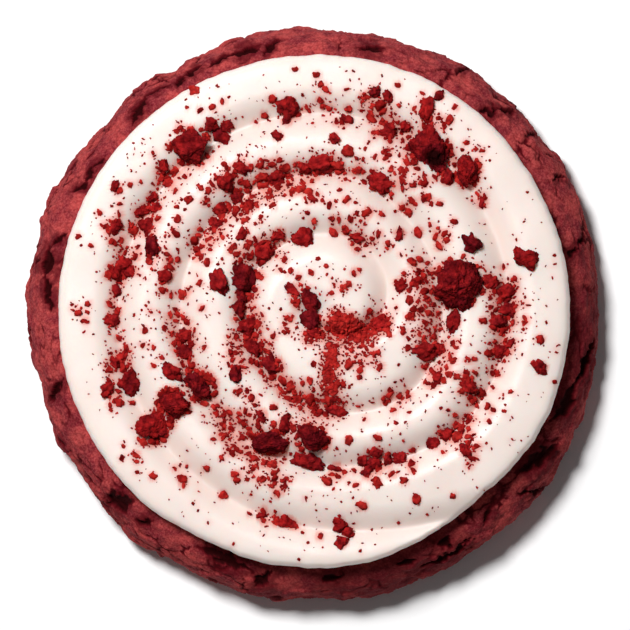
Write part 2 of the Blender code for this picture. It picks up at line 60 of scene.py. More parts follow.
# The baked outline swells and dips: angle, how far out of round in mm, in full down to the turn
# after which it fades towards the foot
OUTLINE = (
    (0, 0.3), (20, 0.7), (31, 1.2), (38, 0.6), (45, 1.0), (50, 0.6), (57, 1.3), (64, 0.5), (70, 0.4),
    (78, -0.3), (95, 0.2), (110, -0.4), (120, -1.3), (124, 0.0), (131, -0.1), (138, -0.8), (158, 0.5),
    (166, -0.5), (171, 0.3), (190, -0.1), (195, -0.7), (208, 0.1), (213, -0.6), (229, 0.6), (242, 0.2),
    (261, 1.0), (269, 0.1), (281, 1.0), (294, 0.3), (298, 0.8), (304, 0.5), (322, 1.3), (338, 0.8),
    (360, 0.3),
)
SWELL_FULL_TO = math.radians(150)

# Fissures in the shoulder, as seen from above: angle and radius in mm of both ends, depth and
# half width in mm
FISSURES = (
    (12.4, 50.6, 13.6, 53.2, 1.6, 0.8), (13.6, 53.2, 16.0, 54.6, 1.0, 0.5),
    (28.2, 55.2, 28.8, 52.4, 1.0, 0.5), (38.2, 55.8, 40.0, 53.4, 0.8, 0.4),
    (44.6, 55.0, 47.2, 53.2, 1.2, 0.6), (47.2, 53.2, 50.8, 50.9, 1.8, 0.9),
    (57.0, 56.0, 58.6, 53.4, 1.2, 0.6), (60.0, 54.4, 60.6, 51.8, 0.9, 0.4),
    (75.0, 53.6, 80.0, 52.2, 1.3, 1.3), (97.0, 53.6, 100.6, 51.3, 1.3, 0.7),
    (101.6, 52.6, 107.0, 53.2, 1.8, 1.0), (107.0, 53.2, 113.0, 52.6, 1.1, 0.5),
    (113.6, 53.5, 118.6, 53.2, 1.6, 0.7), (118.6, 53.2, 121.4, 51.9, 1.2, 0.6),
    (122.0, 52.6, 128.0, 53.4, 1.1, 0.6), (128.0, 53.4, 134.4, 50.8, 1.6, 0.8),
    (136.6, 54.4, 143.0, 54.9, 0.5, 0.3), (143.0, 50.6, 150.0, 51.2, 1.3, 0.6),
    (150.0, 51.2, 153.2, 52.5, 1.5, 0.8), (161.4, 50.6, 166.0, 53.2, 1.4, 0.7),
    (166.0, 53.2, 172.4, 52.0, 1.9, 1.3), (168.4, 54.2, 170.8, 55.2, 1.4, 0.8),
    (172.4, 52.0, 179.6, 51.0, 1.5, 0.8), (195.2, 50.4, 198.4, 54.6, 1.7, 0.8),
    (204.0, 55.2, 210.0, 54.8, 1.0, 0.6), (221.0, 52.6, 227.0, 53.2, 1.6, 1.1),
    (223.6, 54.4, 226.2, 50.6, 1.6, 1.3), (229.4, 52.2, 232.4, 50.6, 1.3, 0.8),
    (244.0, 50.2, 257.0, 51.2, 1.5, 1.1), (258.4, 53.4, 260.2, 51.0, 1.7, 1.4),
    (272.0, 52.8, 276.6, 50.6, 1.4, 1.3), (288.4, 51.6, 292.4, 52.4, 1.2, 0.8),
    (293.0, 54.0, 305.0, 53.6, 1.2, 0.8), (299.0, 52.6, 301.4, 50.6, 1.6, 1.4),
    (308.6, 53.0, 313.4, 51.2, 1.0, 0.7), (318.6, 52.8, 324.0, 55.6, 1.2, 0.8),
    (322.0, 50.4, 331.4, 53.2, 1.7, 1.4), (335.6, 50.8, 344.6, 53.0, 1.7, 1.4),
    (344.6, 53.0, 354.0, 54.8, 1.7, 1.4),
)
CRAG_HEIGHT = 0.45 * MM
CRAG_SIZE = 5.0 * MM
CRAG_OCTAVES = 3
CRAG_FALL = 0.9
CRAG_LACUNARITY = 2.1

# How the fissures' lines stray sideways, coarsely and finely: how far, and the size of the noise.
# How many degrees off a fissure still reaches, how its width swells, and how its ends and walls fall
FISSURE_STRAYS = ((0.8 * MM, 3.2 * MM), (0.45 * MM, 0.9 * MM))
FISSURE_NEAR = 16.0
FISSURE_SWELL = 0.7
FISSURE_SWELL_SIZE = 2.0 * MM
FISSURE_END_TAPER = 0.12
FISSURE_WALL = 1.6

# Fissures down the side, drawn at random: the turns on the rim's section where they start and end
SIDE_FISSURES = 26
SIDE_FISSURE_SEED = 5
SIDE_FISSURE_DEPTH = (0.7, 1.3)
SIDE_FISSURE_HALF_WIDTH = 0.7
SIDE_FISSURE_START = (78, 100)
SIDE_FISSURE_END = (112, 150)
SIDE_FISSURE_LEAN = 5.0
SIDE_FISSURE_STRAY = 0.4

# Hairline cracks over the whole rim
HAIRLINES = 70
HAIRLINE_SEED = 8
HAIRLINE_START = (8, 165)
HAIRLINE_LENGTH = (1.5 * MM, 5.0 * MM)
HAIRLINE_DEPTH = (0.15, 0.5)
HAIRLINE_HALF_WIDTH = 0.35

# Plates that the crust has split into, and the gaps between them
PLATE_SIZE = 4.6 * MM
PLATE_STRETCH = 1.5
PLATE_GAP_SHARE = 0.2
PLATE_GAP_DEPTH = 0.7 * MM
PLATE_GAP_SHARPNESS = 1.5
PLATE_GAPS_OPEN = 0.1
PLATE_GAP_PATCHINESS = 1.6
PLATE_STEP = 0.5 * MM
PLATE_STEP_RISE = 0.35
PLATE_WARP = 1.0 * MM
PLATE_WARP_SIZE = 2.4 * MM
PLATE_PATCH_SIZE = 6.0 * MM
CRUMB_GRAIN_HEIGHT = 0.2 * MM
CRUMB_GRAIN_SIZE = 1.8 * MM

# How far the painted shade round a fissure spreads over its sides, in half widths, and how patchy it is
FISSURE_SHADE_REACH = 2.0
FISSURE_SHADE_PATCHINESS = 0.8
FISSURE_SHADE_PATCH_SIZE = 1.3 * MM

# Stretches of the rim painted darker as shade, facing away from the light: angle, half width, how much
SHADED_RIM_STRETCHES = (
    (0, 26, 0.55),
    (285, 42, 0.60),
)

# Icing: one rope wound outwards anticlockwise, so that its ends and grooves form a spiral
ICING_RADIUS = 49.8 * MM
ICING_CENTRE = Vector((0.3 * MM, 0.2 * MM, 0.0))
GROOVE_HEIGHT = 4.0 * MM
GROOVE_ROUNDING = 0.8 * MM
ROPE_RISE = 2.3 * MM
ROPE_FLANK = 5.4 * MM
ROPE_CROWN = 0.5 * MM
MIDDLE_RISE = 1.6 * MM
LUMP_HEIGHT = 0.35 * MM
LUMP_SIZE = 11.0 * MM
EDGE_ROLL = 1.0 * MM
EDGE_FULLNESS = 3.0 * MM
EDGE_HEIGHT = 2.6 * MM
EDGE_TUCK = 1.1 * MM
EDGE_ROLL_SHARE = 0.05
EDGE_SETTLE = 0.5 * MM
EDGE_WAVER = 0.2 * MM
EDGE_WAVER_SIZE = 4.0 * MM
EDGE_WAVER_STEP = 0.5
EDGE_TUCK_ROWS = 6
ICING_CELLS = 296

# The icing's edge is not quite round: angle, half width, how far out in mm. It draws in most where
# the rope's tail runs out against it
EDGE_SWELLS = (
    (66, 40, 0.5),
    (244, 15, -0.6),
    (309, 28, -1.3),
    (313, 3, -0.3),
)
TAIL_ANGLE = 312

# The groove starts shallow at the tail: share of its depth that is missing, degrees until it is full
TAIL_FILL = 0.7
TAIL_FADE = 60.0

# How the groove winds inwards, clockwise from the tail: degrees turned, radius in mm
GROOVE = (
    (0, 50.6), (15, 46.4), (30, 43.3), (50, 41.2), (70, 39.6), (100, 38.5), (140, 38.0), (180, 38.1),
    (220, 38.6), (250, 38.8), (285, 38.2), (320, 37.4), (345, 36.4), (365, 33.8), (380, 31.5),
    (400, 29.9), (425, 28.4), (450, 26.8), (480, 26.0), (560, 26.5), (600, 27.0), (630, 25.4),
    (705, 24.6), (725, 22.8), (750, 19.8), (775, 17.0), (800, 14.2), (830, 13.0), (870, 13.6),
    (920, 14.4), (975, 16.0), (1010, 15.2), (1040, 12.4), (1065, 8.0), (1090, 3.5), (1115, 0.0),
)
TURNS_OF_GROOVE = 4

# Large crumbs, each a piece of its own: centre x and y, length, width and height in mm, turn
LARGE_CRUMBS = {
    "crumb_right": (28.3, 6.0, 9.6, 8.8, 6.6, 80),
    "crumb_top_right": (22.9, 31.3, 10.2, 7.2, 6.0, 120),
    "crumb_top_right_small": (30.0, 27.8, 6.2, 4.6, 4.6, 105),
    "crumb_top_left": (-23.6, 32.4, 7.9, 6.6, 5.0, -12),
    "crumb_lower_left": (-22.0, -14.0, 6.2, 4.8, 4.4, 155),
    "crumb_heart_upper": (-26.9, -17.6, 6.6, 4.4, 4.5, 155),
    "crumb_heart_lower": (-30.6, -22.2, 7.4, 5.2, 4.8, 28),
    "crumb_bottom_left": (-8.3, -25.1, 7.4, 4.0, 4.2, 5),
    "crumb_bottom": (0.0, -24.5, 6.1, 4.8, 4.4, 170),
}
LARGE_CRUMB_TONES = {
    "crumb_right": 0.7,
    "crumb_top_right": 0.6,
    "crumb_top_right_small": 0.5,
    "crumb_top_left": 0.55,
    "crumb_lower_left": 0.8,
    "crumb_heart_upper": 0.45,
    "crumb_heart_lower": 0.4,
    "crumb_bottom_left": 0.95,
    "crumb_bottom": 0.85,
}
LARGE_CRUMB_SEAT_SHARE = 0.32
LARGE_CRUMB_SINK = 0.5 * MM
LARGE_CRUMB_SEED = 100

# The deep pit in the crumb at the top right, darkened with painted shade
PIT_PLACE = (23.7 * MM, 30.1 * MM)
PIT_REACH = 3.4 * MM
PIT_DEPTH = 1.3 * MM
PIT_SHADE = 1.9

# Kinds of broken lump: levels of its sphere, flats, how deep its bites and its teeth are. Then the
# seeds of the lumps that many small crumbs share
LARGE_LUMP = (6, 10, 0.28, 0.27)
MEDIUM_LUMP = (4, 8, 0.42, 0.36)
CHIP_LUMP = (3, 6, 0.4, 0.25)
SMALL_LUMP = (2, 5, 0.5, 0.3)
DUST_LUMP = (1, 3, 0.5, 0.3)
CHIP_LUMPS = range(150, 190)
SMALL_LUMPS = range(200, 240)
DUST_LUMPS = range(300, 312)

# How every lump is broken, leans and sits: a noise's fall, lacunarity and octaves follow its scale
FLAT_REACH = (0.6, 0.95)
FLAT_BITE = 0.9
BITE_SCALE = 1.3
BITE_NOISE = (0.8, 2.1, 2)
TEETH_SCALE = 3.4
TEETH_NOISE = (0.6, 2.3, 5)
CRUMB_VARIETY = Vector((3.7, 1.3, 2.1))
CRUMB_BOXINESS = 3.2
CRUMB_LEAN = (-0.3, 0.5)
CRUMB_SEAT_SHARE = 0.12
CLEAR_SHARE = 0.6

# Painted shade at a crumb's foot: how much darker it is there, and the share of its height that this
# reaches
FOOT_SHADE = 0.65
FOOT_SHADE_SHARE = 0.65

# Smaller crumbs stuck to the icing: centre x and y, length and width in mm, turn, tone from 0,
# bright, to 1, dark
MEDIUM_CRUMBS = (
    (-19.7, 36.5, 3.0, 2.8, 0, 0.5), (-17.6, 34.1, 5.0, 3.0, -40, 0.6),
    (-16.6, 36.2, 2.6, 2.0, 30, 0.4), (-21.8, 39.4, 1.6, 1.0, 30, 0.9),
    (-29.0, 28.3, 3.0, 2.2, 100, 0.3), (-26.8, 27.4, 1.8, 1.5, 40, 0.6),
    (-28.0, 25.2, 2.2, 1.9, 20, 0.1), (-31.2, 22.5, 2.6, 2.2, 0, 0.2), (-30.5, 20.4, 2.6, 2.2, 70, 0.1),
    (-33.2, 19.7, 3.2, 2.4, 0, 0.3), (-32.2, 16.8, 3.6, 3.2, 0, 0.3), (-34.7, 16.0, 2.0, 1.8, 0, 0.4),
    (-38.3, 24.7, 2.6, 1.8, 80, 0.5), (-38.1, 16.6, 3.0, 2.6, 20, 0.4), (-16.9, 25.3, 3.5, 3.3, 0, 0.3),
    (-18.6, 26.2, 1.4, 1.3, 0, 0.2), (-20.2, 23.7, 1.5, 1.3, 90, 0.4), (-21.7, 24.3, 1.4, 1.3, 0, 0.3),
    (-24.0, 22.0, 1.9, 1.5, 30, 0.8), (-26.6, 23.6, 1.6, 0.9, 70, 0.6),
    (-26.3, 20.6, 1.2, 0.9, -20, 0.6), (-24.7, 26.4, 1.2, 1.0, -30, 0.8),
    (-17.9, 20.1, 3.1, 2.6, 30, 0.4), (-18.5, 17.1, 3.0, 2.5, 0, 0.3),
    (-14.6, 22.4, 3.0, 2.8, 100, 0.5), (-14.8, 19.6, 2.4, 1.6, 60, 0.4),
    (-12.0, 21.3, 2.5, 1.2, -55, 0.5), (-13.7, 28.1, 3.8, 2.4, -30, 0.4),
    (-12.8, 25.0, 1.8, 1.6, 0, 0.7), (-9.5, 26.4, 2.4, 1.8, 20, 0.4), (-6.8, 26.0, 3.8, 3.4, 40, 0.3),
    (-5.4, 28.2, 2.2, 1.8, 0, 0.4), (-9.5, 24.7, 2.4, 1.6, 0, 0.3), (-8.2, 23.6, 1.8, 1.2, 100, 0.4),
    (-7.9, 28.8, 2.0, 1.0, 10, 0.5), (-1.5, 28.3, 2.6, 2.4, 0, 0.2), (1.7, 28.8, 5.0, 3.2, 5, 0.2),
    (5.0, 28.5, 2.4, 1.8, 0, 0.3), (9.0, 27.7, 1.8, 1.4, 0, 0.4), (-0.1, 22.2, 2.8, 1.4, -40, 0.4),
    (-2.3, 23.9, 2.4, 1.4, 20, 0.3), (6.6, 21.9, 2.0, 1.1, 40, 0.5), (5.2, 23.8, 1.2, 0.9, 50, 0.7),
    (-7.8, 20.8, 1.8, 1.0, 30, 0.5), (-1.0, 19.4, 1.1, 0.9, 0, 0.8), (-4.6, 40.5, 5.6, 4.2, 35, 0.4),
    (-5.2, 37.2, 2.6, 2.0, 80, 0.7), (-6.8, 34.3, 2.6, 2.0, -35, 0.5), (-9.3, 38.4, 1.6, 1.3, 0, 0.5),
    (-7.7, 41.5, 2.0, 1.4, 20, 0.4), (-3.4, 47.2, 1.4, 1.0, 0, 0.6), (0.8, 46.2, 1.6, 1.2, 30, 0.5),
    (1.7, 44.3, 1.6, 1.2, 60, 0.5), (1.5, 41.3, 1.6, 1.3, 0, 0.4), (6.7, 37.5, 2.8, 2.5, 0, 0.4),
    (4.3, 33.7, 2.6, 2.0, -45, 0.4), (6.9, 31.4, 2.4, 2.3, 0, 0.4), (12.1, 42.9, 2.6, 2.3, 0, 0.8),
    (14.6, 42.0, 2.6, 2.1, 100, 0.4), (13.1, 40.5, 2.4, 1.8, 20, 0.9), (11.4, 37.8, 2.4, 1.6, -30, 0.4),
    (13.7, 39.2, 2.4, 1.2, 50, 0.5), (14.6, 34.8, 4.2, 3.0, 20, 0.2), (18.0, 36.2, 2.8, 2.2, 30, 0.3),
    (13.0, 25.1, 5.4, 4.0, -15, 0.35), (17.5, 24.1, 1.4, 1.0, 80, 0.4), (10.4, 19.4, 2.2, 1.3, 20, 0.2),
    (13.4, 19.1, 1.5, 1.0, -40, 0.4), (18.7, 19.6, 2.0, 1.7, -30, 0.4), (17.5, 20.5, 1.7, 1.2, 30, 0.5),
    (24.7, 21.2, 1.5, 1.2, -20, 0.6), (23.1, 21.2, 1.2, 0.9, 70, 0.6), (27.5, 17.7, 1.7, 1.2, -10, 0.9),
    (33.0, 21.5, 2.6, 1.2, 80, 0.6), (22.3, 39.7, 5.0, 3.0, 80, 0.3), (24.5, 42.1, 2.8, 1.8, 20, 0.8),
    (26.6, 37.4, 2.2, 1.4, 60, 0.4), (26.3, 25.8, 4.0, 2.4, 60, 0.6), (32.9, 31.5, 1.4, 0.8, 0, 0.6),
    (30.9, 13.2, 4.2, 3.8, 20, 0.95), (20.5, 15.6, 2.4, 1.9, -50, 0.5), (16.8, 15.3, 3.4, 1.7, 85, 0.5),
    (24.7, 13.0, 2.2, 1.4, -30, 0.2), (24.0, 15.0, 2.2, 0.9, 60, 0.2), (12.8, 15.3, 1.8, 1.0, 80, 0.4),
    (14.6, 13.5, 1.4, 1.1, 80, 0.6), (8.8, 14.6, 3.4, 2.2, -20, 0.2), (6.6, 15.9, 1.5, 1.3, 0, 0.4),
    (4.1, 15.6, 2.1, 1.8, 90, 0.4), (8.7, 12.3, 1.5, 1.0, 30, 0.4), (-1.7, 14.2, 4.6, 4.2, 20, 0.35),
    (19.3, 9.9, 2.2, 1.5, -20, 0.3), (17.4, 5.2, 3.4, 2.4, 0, 0.3), (18.8, 2.4, 2.0, 1.8, 60, 0.6),
    (41.4, 10.4, 5.4, 4.2, 170, 0.35), (34.7, 6.0, 3.4, 2.8, 0, 0.35), (37.5, 3.8, 4.4, 3.8, 20, 0.3),
    (38.3, 0.6, 5.0, 3.2, -20, 0.6), (36.1, -1.8, 3.6, 2.4, 10, 0.6), (27.4, -2.0, 5.4, 3.2, 80, 0.4),
    (33.1, -1.5, 1.6, 1.3, 0, 0.5), (21.6, -7.4, 5.6, 3.4, 5, 0.35), (25.1, -7.1, 3.2, 2.4, 0, 0.35),
    (36.6, -7.6, 3.0, 2.8, 0, 0.35), (34.1, -7.8, 1.8, 1.5, 0, 0.6), (38.6, -5.9, 2.6, 1.6, 40, 0.4),
    (44.2, -5.2, 2.1, 1.6, 85, 0.35), (44.4, -10.6, 3.3, 2.6, -30, 0.5),
    (42.8, -9.7, 1.2, 0.9, 20, 0.4), (47.0, -13.4, 1.1, 0.8, 0, 0.9), (31.4, -9.0, 1.4, 0.9, 0, 0.5),
    (31.5, -11.6, 1.5, 0.9, -40, 0.6), (24.2, -12.9, 2.8, 2.2, 70, 0.15),
    (28.0, -12.3, 1.5, 1.3, 0, 0.4), (30.3, -14.2, 4.0, 2.8, -35, 0.25),
    (32.7, -15.3, 1.9, 1.4, -60, 0.6), (31.4, -16.7, 1.4, 1.0, -20, 0.5),
    (35.9, -11.8, 1.6, 1.0, 80, 0.4), (38.5, -15.3, 1.3, 0.8, 10, 0.5),
    (34.1, -18.3, 1.6, 1.3, 60, 0.5), (34.4, -21.2, 1.3, 1.0, -40, 0.8),
    (30.8, -20.5, 1.3, 0.9, 60, 0.4), (28.4, -22.0, 2.2, 1.4, 10, 0.4),
    (26.3, -23.7, 3.0, 2.8, 60, 0.4), (28.2, -24.0, 2.4, 2.0, 20, 0.2),
    (29.6, -26.6, 3.6, 2.3, 105, 0.4), (30.2, -24.0, 1.6, 1.2, 0, 0.4),
    (23.4, -25.4, 3.7, 2.6, -38, 0.55), (31.9, -28.3, 1.3, 0.5, -30, 0.8),
    (30.5, -29.7, 1.3, 0.4, 50, 0.9), (12.6, -24.2, 2.1, 1.3, -35, 0.5),
    (15.7, -18.9, 1.5, 1.1, 0, 0.5), (16.2, -21.4, 1.2, 0.8, -30, 0.7),
    (12.4, -27.2, 2.6, 2.2, 30, 0.35), (9.8, -28.5, 2.6, 2.2, 80, 0.5), (12.0, -29.6, 3.2, 2.6, 0, 0.6),
    (14.7, -28.9, 2.6, 2.0, 80, 0.7), (17.0, -28.4, 3.2, 2.6, 10, 0.3),
    (10.6, -31.0, 2.8, 2.0, 40, 0.5), (12.6, -33.0, 2.4, 2.0, 110, 0.4),
    (8.4, -33.4, 1.5, 1.0, 20, 0.5), (15.3, -31.3, 2.0, 1.1, 45, 0.4), (17.8, -32.5, 1.8, 1.4, 0, 0.3),
    (9.6, -37.3, 2.3, 1.6, -20, 0.25), (20.2, -36.2, 2.1, 1.7, 80, 0.45),
    (27.2, -35.5, 1.3, 1.1, 0, 0.5), (5.2, -41.1, 3.4, 3.0, 20, 0.25),
    (6.9, -42.7, 3.2, 2.8, 100, 0.35), (5.6, -44.6, 3.2, 2.6, 60, 0.3), (7.1, -24.7, 1.9, 1.7, 90, 0.5),
    (-5.3, -21.4, 4.4, 2.2, 80, 0.5), (-0.9, -28.8, 7.2, 3.6, 172, 0.5),
    (4.5, -30.3, 3.4, 1.6, -10, 0.4), (2.8, -32.7, 2.4, 2.0, 0, 0.4), (-9.9, -39.3, 2.6, 1.7, 20, 0.3),
    (-4.7, -40.7, 3.8, 2.6, 0, 0.2), (-25.3, -32.3, 2.0, 1.8, 0, 0.6), (-20.5, -30.2, 1.6, 1.2, 0, 0.5),
    (-17.3, -35.4, 2.0, 1.8, 0, 0.4), (-14.6, -32.4, 1.6, 1.2, 0, 0.5),
    (-11.8, -16.5, 1.6, 1.3, 60, 0.8), (-10.0, -19.9, 3.2, 1.6, -50, 0.4),
    (-10.5, -21.9, 1.6, 1.3, -60, 0.95), (-7.6, -18.4, 1.7, 1.4, 30, 0.3),
    (-3.1, -17.0, 2.4, 1.8, 20, 0.6), (-0.4, -16.8, 2.3, 2.1, 60, 0.55),
    (1.5, -19.3, 1.7, 1.4, 60, 0.5), (4.7, -18.9, 4.8, 2.6, -20, 0.3), (3.2, -17.0, 2.2, 1.8, 60, 0.3),
    (7.0, -10.2, 2.2, 1.6, 60, 0.3), (9.1, -12.5, 1.3, 1.0, 0, 0.5), (4.8, -13.7, 1.6, 1.4, -40, 0.4),
    (15.0, -15.8, 2.0, 1.1, 45, 0.3), (14.2, -17.4, 1.4, 1.0, 60, 0.4),
    (-4.1, -14.4, 2.4, 1.6, 20, 0.3), (-5.7, -13.2, 2.2, 1.6, -30, 0.7),
    (-7.9, -10.2, 4.4, 3.0, -55, 0.7), (-11.2, -6.8, 4.2, 3.4, -40, 0.5),
    (-12.6, -2.9, 4.4, 3.8, 70, 0.5), (-30.9, 13.0, 4.6, 3.2, 90, 0.95),
    (-37.0, 9.4, 4.2, 3.4, 30, 0.2), (-38.6, 7.6, 3.0, 2.6, 0, 0.3), (-35.2, 8.0, 2.6, 2.4, 60, 0.2),
    (-38.1, 4.3, 2.8, 2.2, 90, 0.5), (-45.4, 0.0, 1.8, 1.4, 0, 0.5), (-43.6, 1.7, 1.4, 1.1, 0, 0.5),
    (-39.1, -1.4, 3.4, 2.6, 20, 0.4), (-36.6, -8.2, 2.8, 2.0, 30, 0.15),
    (-38.6, -9.6, 2.8, 1.8, -40, 0.15), (-36.8, -10.9, 2.2, 1.5, 80, 0.2),
    (-31.6, 9.9, 1.6, 1.3, 0, 0.4), (-28.6, 6.9, 2.8, 2.4, 0, 0.3), (-29.2, 4.3, 1.5, 1.4, 0, 0.4),
    (-25.2, 3.5, 2.4, 2.2, 30, 0.25), (-27.5, 3.4, 1.6, 0.7, 85, 0.4), (-23.1, 14.2, 2.0, 1.8, 0, 0.8),
    (-28.3, 11.4, 1.3, 1.0, 0, 0.5), (-22.1, 11.4, 1.7, 1.3, 20, 0.2), (-24.7, -4.2, 3.6, 3.2, 0, 0.25),
    (-24.7, -7.7, 4.8, 2.8, 20, 0.7), (-23.3, -10.3, 1.8, 1.5, 0, 0.5), (-45.4, 14.8, 1.4, 1.1, 0, 0.5),
    (-27.3, -11.5, 4.6, 3.4, 160, 0.35), (-35.2, -13.6, 5.3, 4.8, 30, 0.65),
    (-39.8, -15.0, 3.6, 2.8, 100, 0.4), (-37.5, -17.6, 1.9, 1.6, 0, 0.5),
    (-35.1, -17.5, 1.4, 1.1, 0, 0.5), (-21.0, -17.6, 2.0, 1.4, 0, 0.4),
    (-14.9, -11.9, 3.6, 2.4, 90, 0.75), (-13.5, 6.8, 5.6, 4.7, 70, 0.9),
    (-13.9, 3.3, 3.4, 2.6, 80, 0.7), (-18.1, 5.8, 5.4, 3.7, 118, 0.4), (-10.6, 7.2, 2.0, 1.6, 90, 0.3),
    (-14.4, 0.6, 3.6, 2.8, 80, 0.7), (-11.9, 3.2, 2.2, 1.6, 0, 0.5), (-9.6, 11.6, 4.4, 3.4, 40, 0.2),
    (-10.2, 13.4, 2.8, 1.6, 30, 0.3), (-13.7, 15.2, 3.0, 2.0, 60, 0.25),
    (-6.8, 14.9, 3.2, 1.5, 10, 0.3), (-14.8, 11.4, 1.4, 1.2, 0, 0.8), (-5.4, 10.3, 1.5, 1.1, 60, 0.3),
    (-6.1, 8.3, 1.5, 0.9, -60, 0.8), (-3.9, 4.4, 3.8, 1.8, -45, 0.4), (-0.2, 2.0, 4.8, 3.9, 100, 0.85),
    (-0.3, -1.7, 4.6, 4.0, 80, 1.1), (0.1, -4.1, 3.2, 2.0, 10, 0.3), (13.2, -2.2, 4.2, 3.6, 20, 0.05),
    (8.0, 7.6, 1.4, 1.0, -50, 0.6), (17.5, -3.0, 1.3, 1.0, 0, 0.5), (-22.9, 43.2, 2.2, 1.9, 0, 0.15),
)
MEDIUM_CRUMB_HEIGHT_SHARE = 0.9

# Crumbs from the first length on are medium ones, and crumbs below the second are dust
WIDE_CRUMB = 2.5 * MM
FINE_CRUMB = 0.6 * MM

# How crumbs of each kind vary: width and height as shares of the length, tip in degrees, and tone.
# A pair is the two ends of a random draw
FRINGE_KIND = ((0.5, 1.0), 0.8, (-30, 30), (0.0, 1.0))
DRIFT_KIND = ((0.45, 0.95), (0.35, 0.8), (-30, 30), (0.0, 1.0))
PILE_KIND = ((0.5, 1.0), 0.7, (-40, 40), (0.0, 0.35))
STREWN_KIND = ((0.35, 0.9), (0.3, 0.7), (-30, 30), (0.7, 1.3))
DUST_KIND = ((0.5, 1.0), 0.7, 0.0, (0.5, 1.3))

# Chips that broke off each large crumb and lie against it
FRINGE_CRUMBS = 26
FRINGE_SEED = 44
FRINGE_LENGTH = (0.6, 1.8)
FRINGE_AWAY = (0.85, 1.15)

# Drifts of small crumbs along the groove: degrees turned from and to, how far out from the groove
# in mm from and to, and how many crumbs. Each drift is spread about its middle
DRIFTS = (
    (45, 59, -0.8, 1.4, 16), (48, 67, -8.0, -3.5, 18), (76, 84, -0.5, 3.2, 8), (88, 96, 4.5, 8.0, 10),
    (105, 113, 3.0, 6.0, 8), (112, 121, -1.6, 3.2, 34), (120, 140, -0.4, 2.8, 26),
    (128, 135, 5.0, 8.0, 6), (140, 150, -2.2, 3.4, 40), (152, 158, 2.8, 6.0, 16),
    (153, 170, -2.2, 2.4, 52), (153, 180, 4.0, 8.0, 16), (171, 181, -0.4, 3.4, 24),
    (120, 180, -7.0, -1.0, 26), (178, 202, -8.0, -4.5, 34), (186, 206, -1.5, 6.0, 12),
    (205, 221, -2.5, 4.0, 14), (220, 235, -1.0, 6.0, 20), (233, 241, 2.0, 6.0, 26),
    (238, 250, -3.2, 2.2, 40), (247, 258, 3.5, 8.0, 30), (261, 269, 3.0, 8.0, 6),
    (248, 262, -7.0, -3.5, 14), (275, 281, -0.5, 1.8, 9), (300, 322, 1.0, 5.0, 14),
    (299, 308, -5.0, -2.0, 22), (303, 316, -3.2, 1.8, 60), (315, 331, -3.0, 2.0, 52),
    (330, 350, -4.0, 2.6, 26), (334, 341, -6.5, -1.5, 16), (347, 358, -1.6, 3.0, 32),
    (350, 357, 2.5, 6.5, 16), (368, 388, -2.0, 4.0, 32), (386, 399, -0.6, 4.0, 12),
    (411, 432, 1.0, 6.0, 44), (418, 433, -6.0, -1.5, 12), (424, 451, -2.4, 3.0, 86),
    (432, 450, -8.0, -5.0, 12), (450, 470, -2.0, 2.0, 20), (469, 489, -2.6, 2.0, 52),
    (480, 500, 2.5, 7.0, 9), (496, 516, 2.0, 5.0, 24), (496, 503, -1.8, 1.0, 6),
    (514, 541, -3.2, 1.0, 44), (500, 541, 4.0, 8.0, 18), (500, 541, -7.0, -4.0, 8),
    (540, 560, -4.2, 3.0, 72), (545, 559, 2.5, 6.0, 18), (560, 576, -2.4, 3.2, 45),
    (575, 596, -0.6, 3.6, 43), (570, 586, -7.0, -1.8, 12), (595, 626, -0.5, 4.0, 23),
    (600, 626, 4.0, 8.0, 26), (595, 626, -7.5, -2.5, 6), (636, 646, 2.5, 6.5, 10),
    (649, 681, -6.0, -0.6, 78), (650, 660, -8.0, -5.0, 10), (680, 700, -5.4, 5.0, 58),
    (697, 705, 1.5, 4.0, 14), (711, 722, -2.4, 2.2, 12), (741, 760, -3.2, 1.8, 46),
    (740, 757, -8.0, -4.0, 22), (758, 790, -2.2, 2.0, 46), (764, 786, 3.0, 8.0, 15),
    (788, 862, -2.2, 2.2, 150), (812, 836, 2.0, 7.0, 30), (882, 900, -1.2, 6.0, 28),
    (899, 923, -0.8, 3.0, 37), (899, 925, 3.0, 8.0, 8), (944, 981, -0.8, 4.0, 24),
    (944, 981, 4.0, 8.0, 4), (1008, 1042, 5.0, 8.0, 12), (1036, 1092, -2.5, 3.5, 56),
)
DRIFT_SEED = 21
DRIFT_CRUMB_LENGTH = (0.4 * MM, 1.75 * MM)
DRIFT_CRUMB_SKEW = 1.7
DRIFT_CROWDING = 1.06
DRIFT_SPREAD = 0.33

# Piles of finer crumbs: centre x and y, length and width in mm, turn, how many
PILES = (
    (6.2, -2.6, 6.2, 4.6, 0, 160), (9.9, -3.4, 5.6, 2.8, -5, 100), (13.2, -2.4, 4.4, 3.4, 20, 60),
    (4.6, -1.0, 3.2, 2.2, 60, 30), (8.8, -4.9, 8.0, 1.4, 4, 20), (3.5, -9.6, 9.0, 2.6, 86, 130),
    (3.4, -14.4, 3.6, 3.2, 0, 34), (0.2, -4.4, 4.4, 3.0, 0, 50), (-3.0, 2.6, 3.0, 2.4, 0, 12),
    (-4.4, -2.6, 3.4, 4.2, 0, 14), (2.5, 7.0, 15.0, 8.0, 0, 24), (10.0, -8.4, 8.0, 6.0, -40, 40),
)
PILE_SEED = 61
PILE_THINNING = 0.65
PILE_CRUMB_LENGTH = (0.4 * MM, 1.5 * MM)
PILE_CRUMB_SKEW = 1.5

# Specks of dust round the small crumbs
DUST_SEED = 22
DUST_PER_CRUMB = 1.2
DUST_SPREAD = 1.2 * MM
DUST_LENGTH = (0.22 * MM, 0.6 * MM)
DUST_EDGE = 1.0 * MM

# Crumbs strewn evenly over the whole icing, up to a little inside its edge
STREWN_CRUMBS = 760
STREWN_SEED = 33
STREWN_LENGTH = (0.3 * MM, 0.9 * MM)
STREWN_SKEW = 2.0
STREWN_EDGE = 1.5 * MM

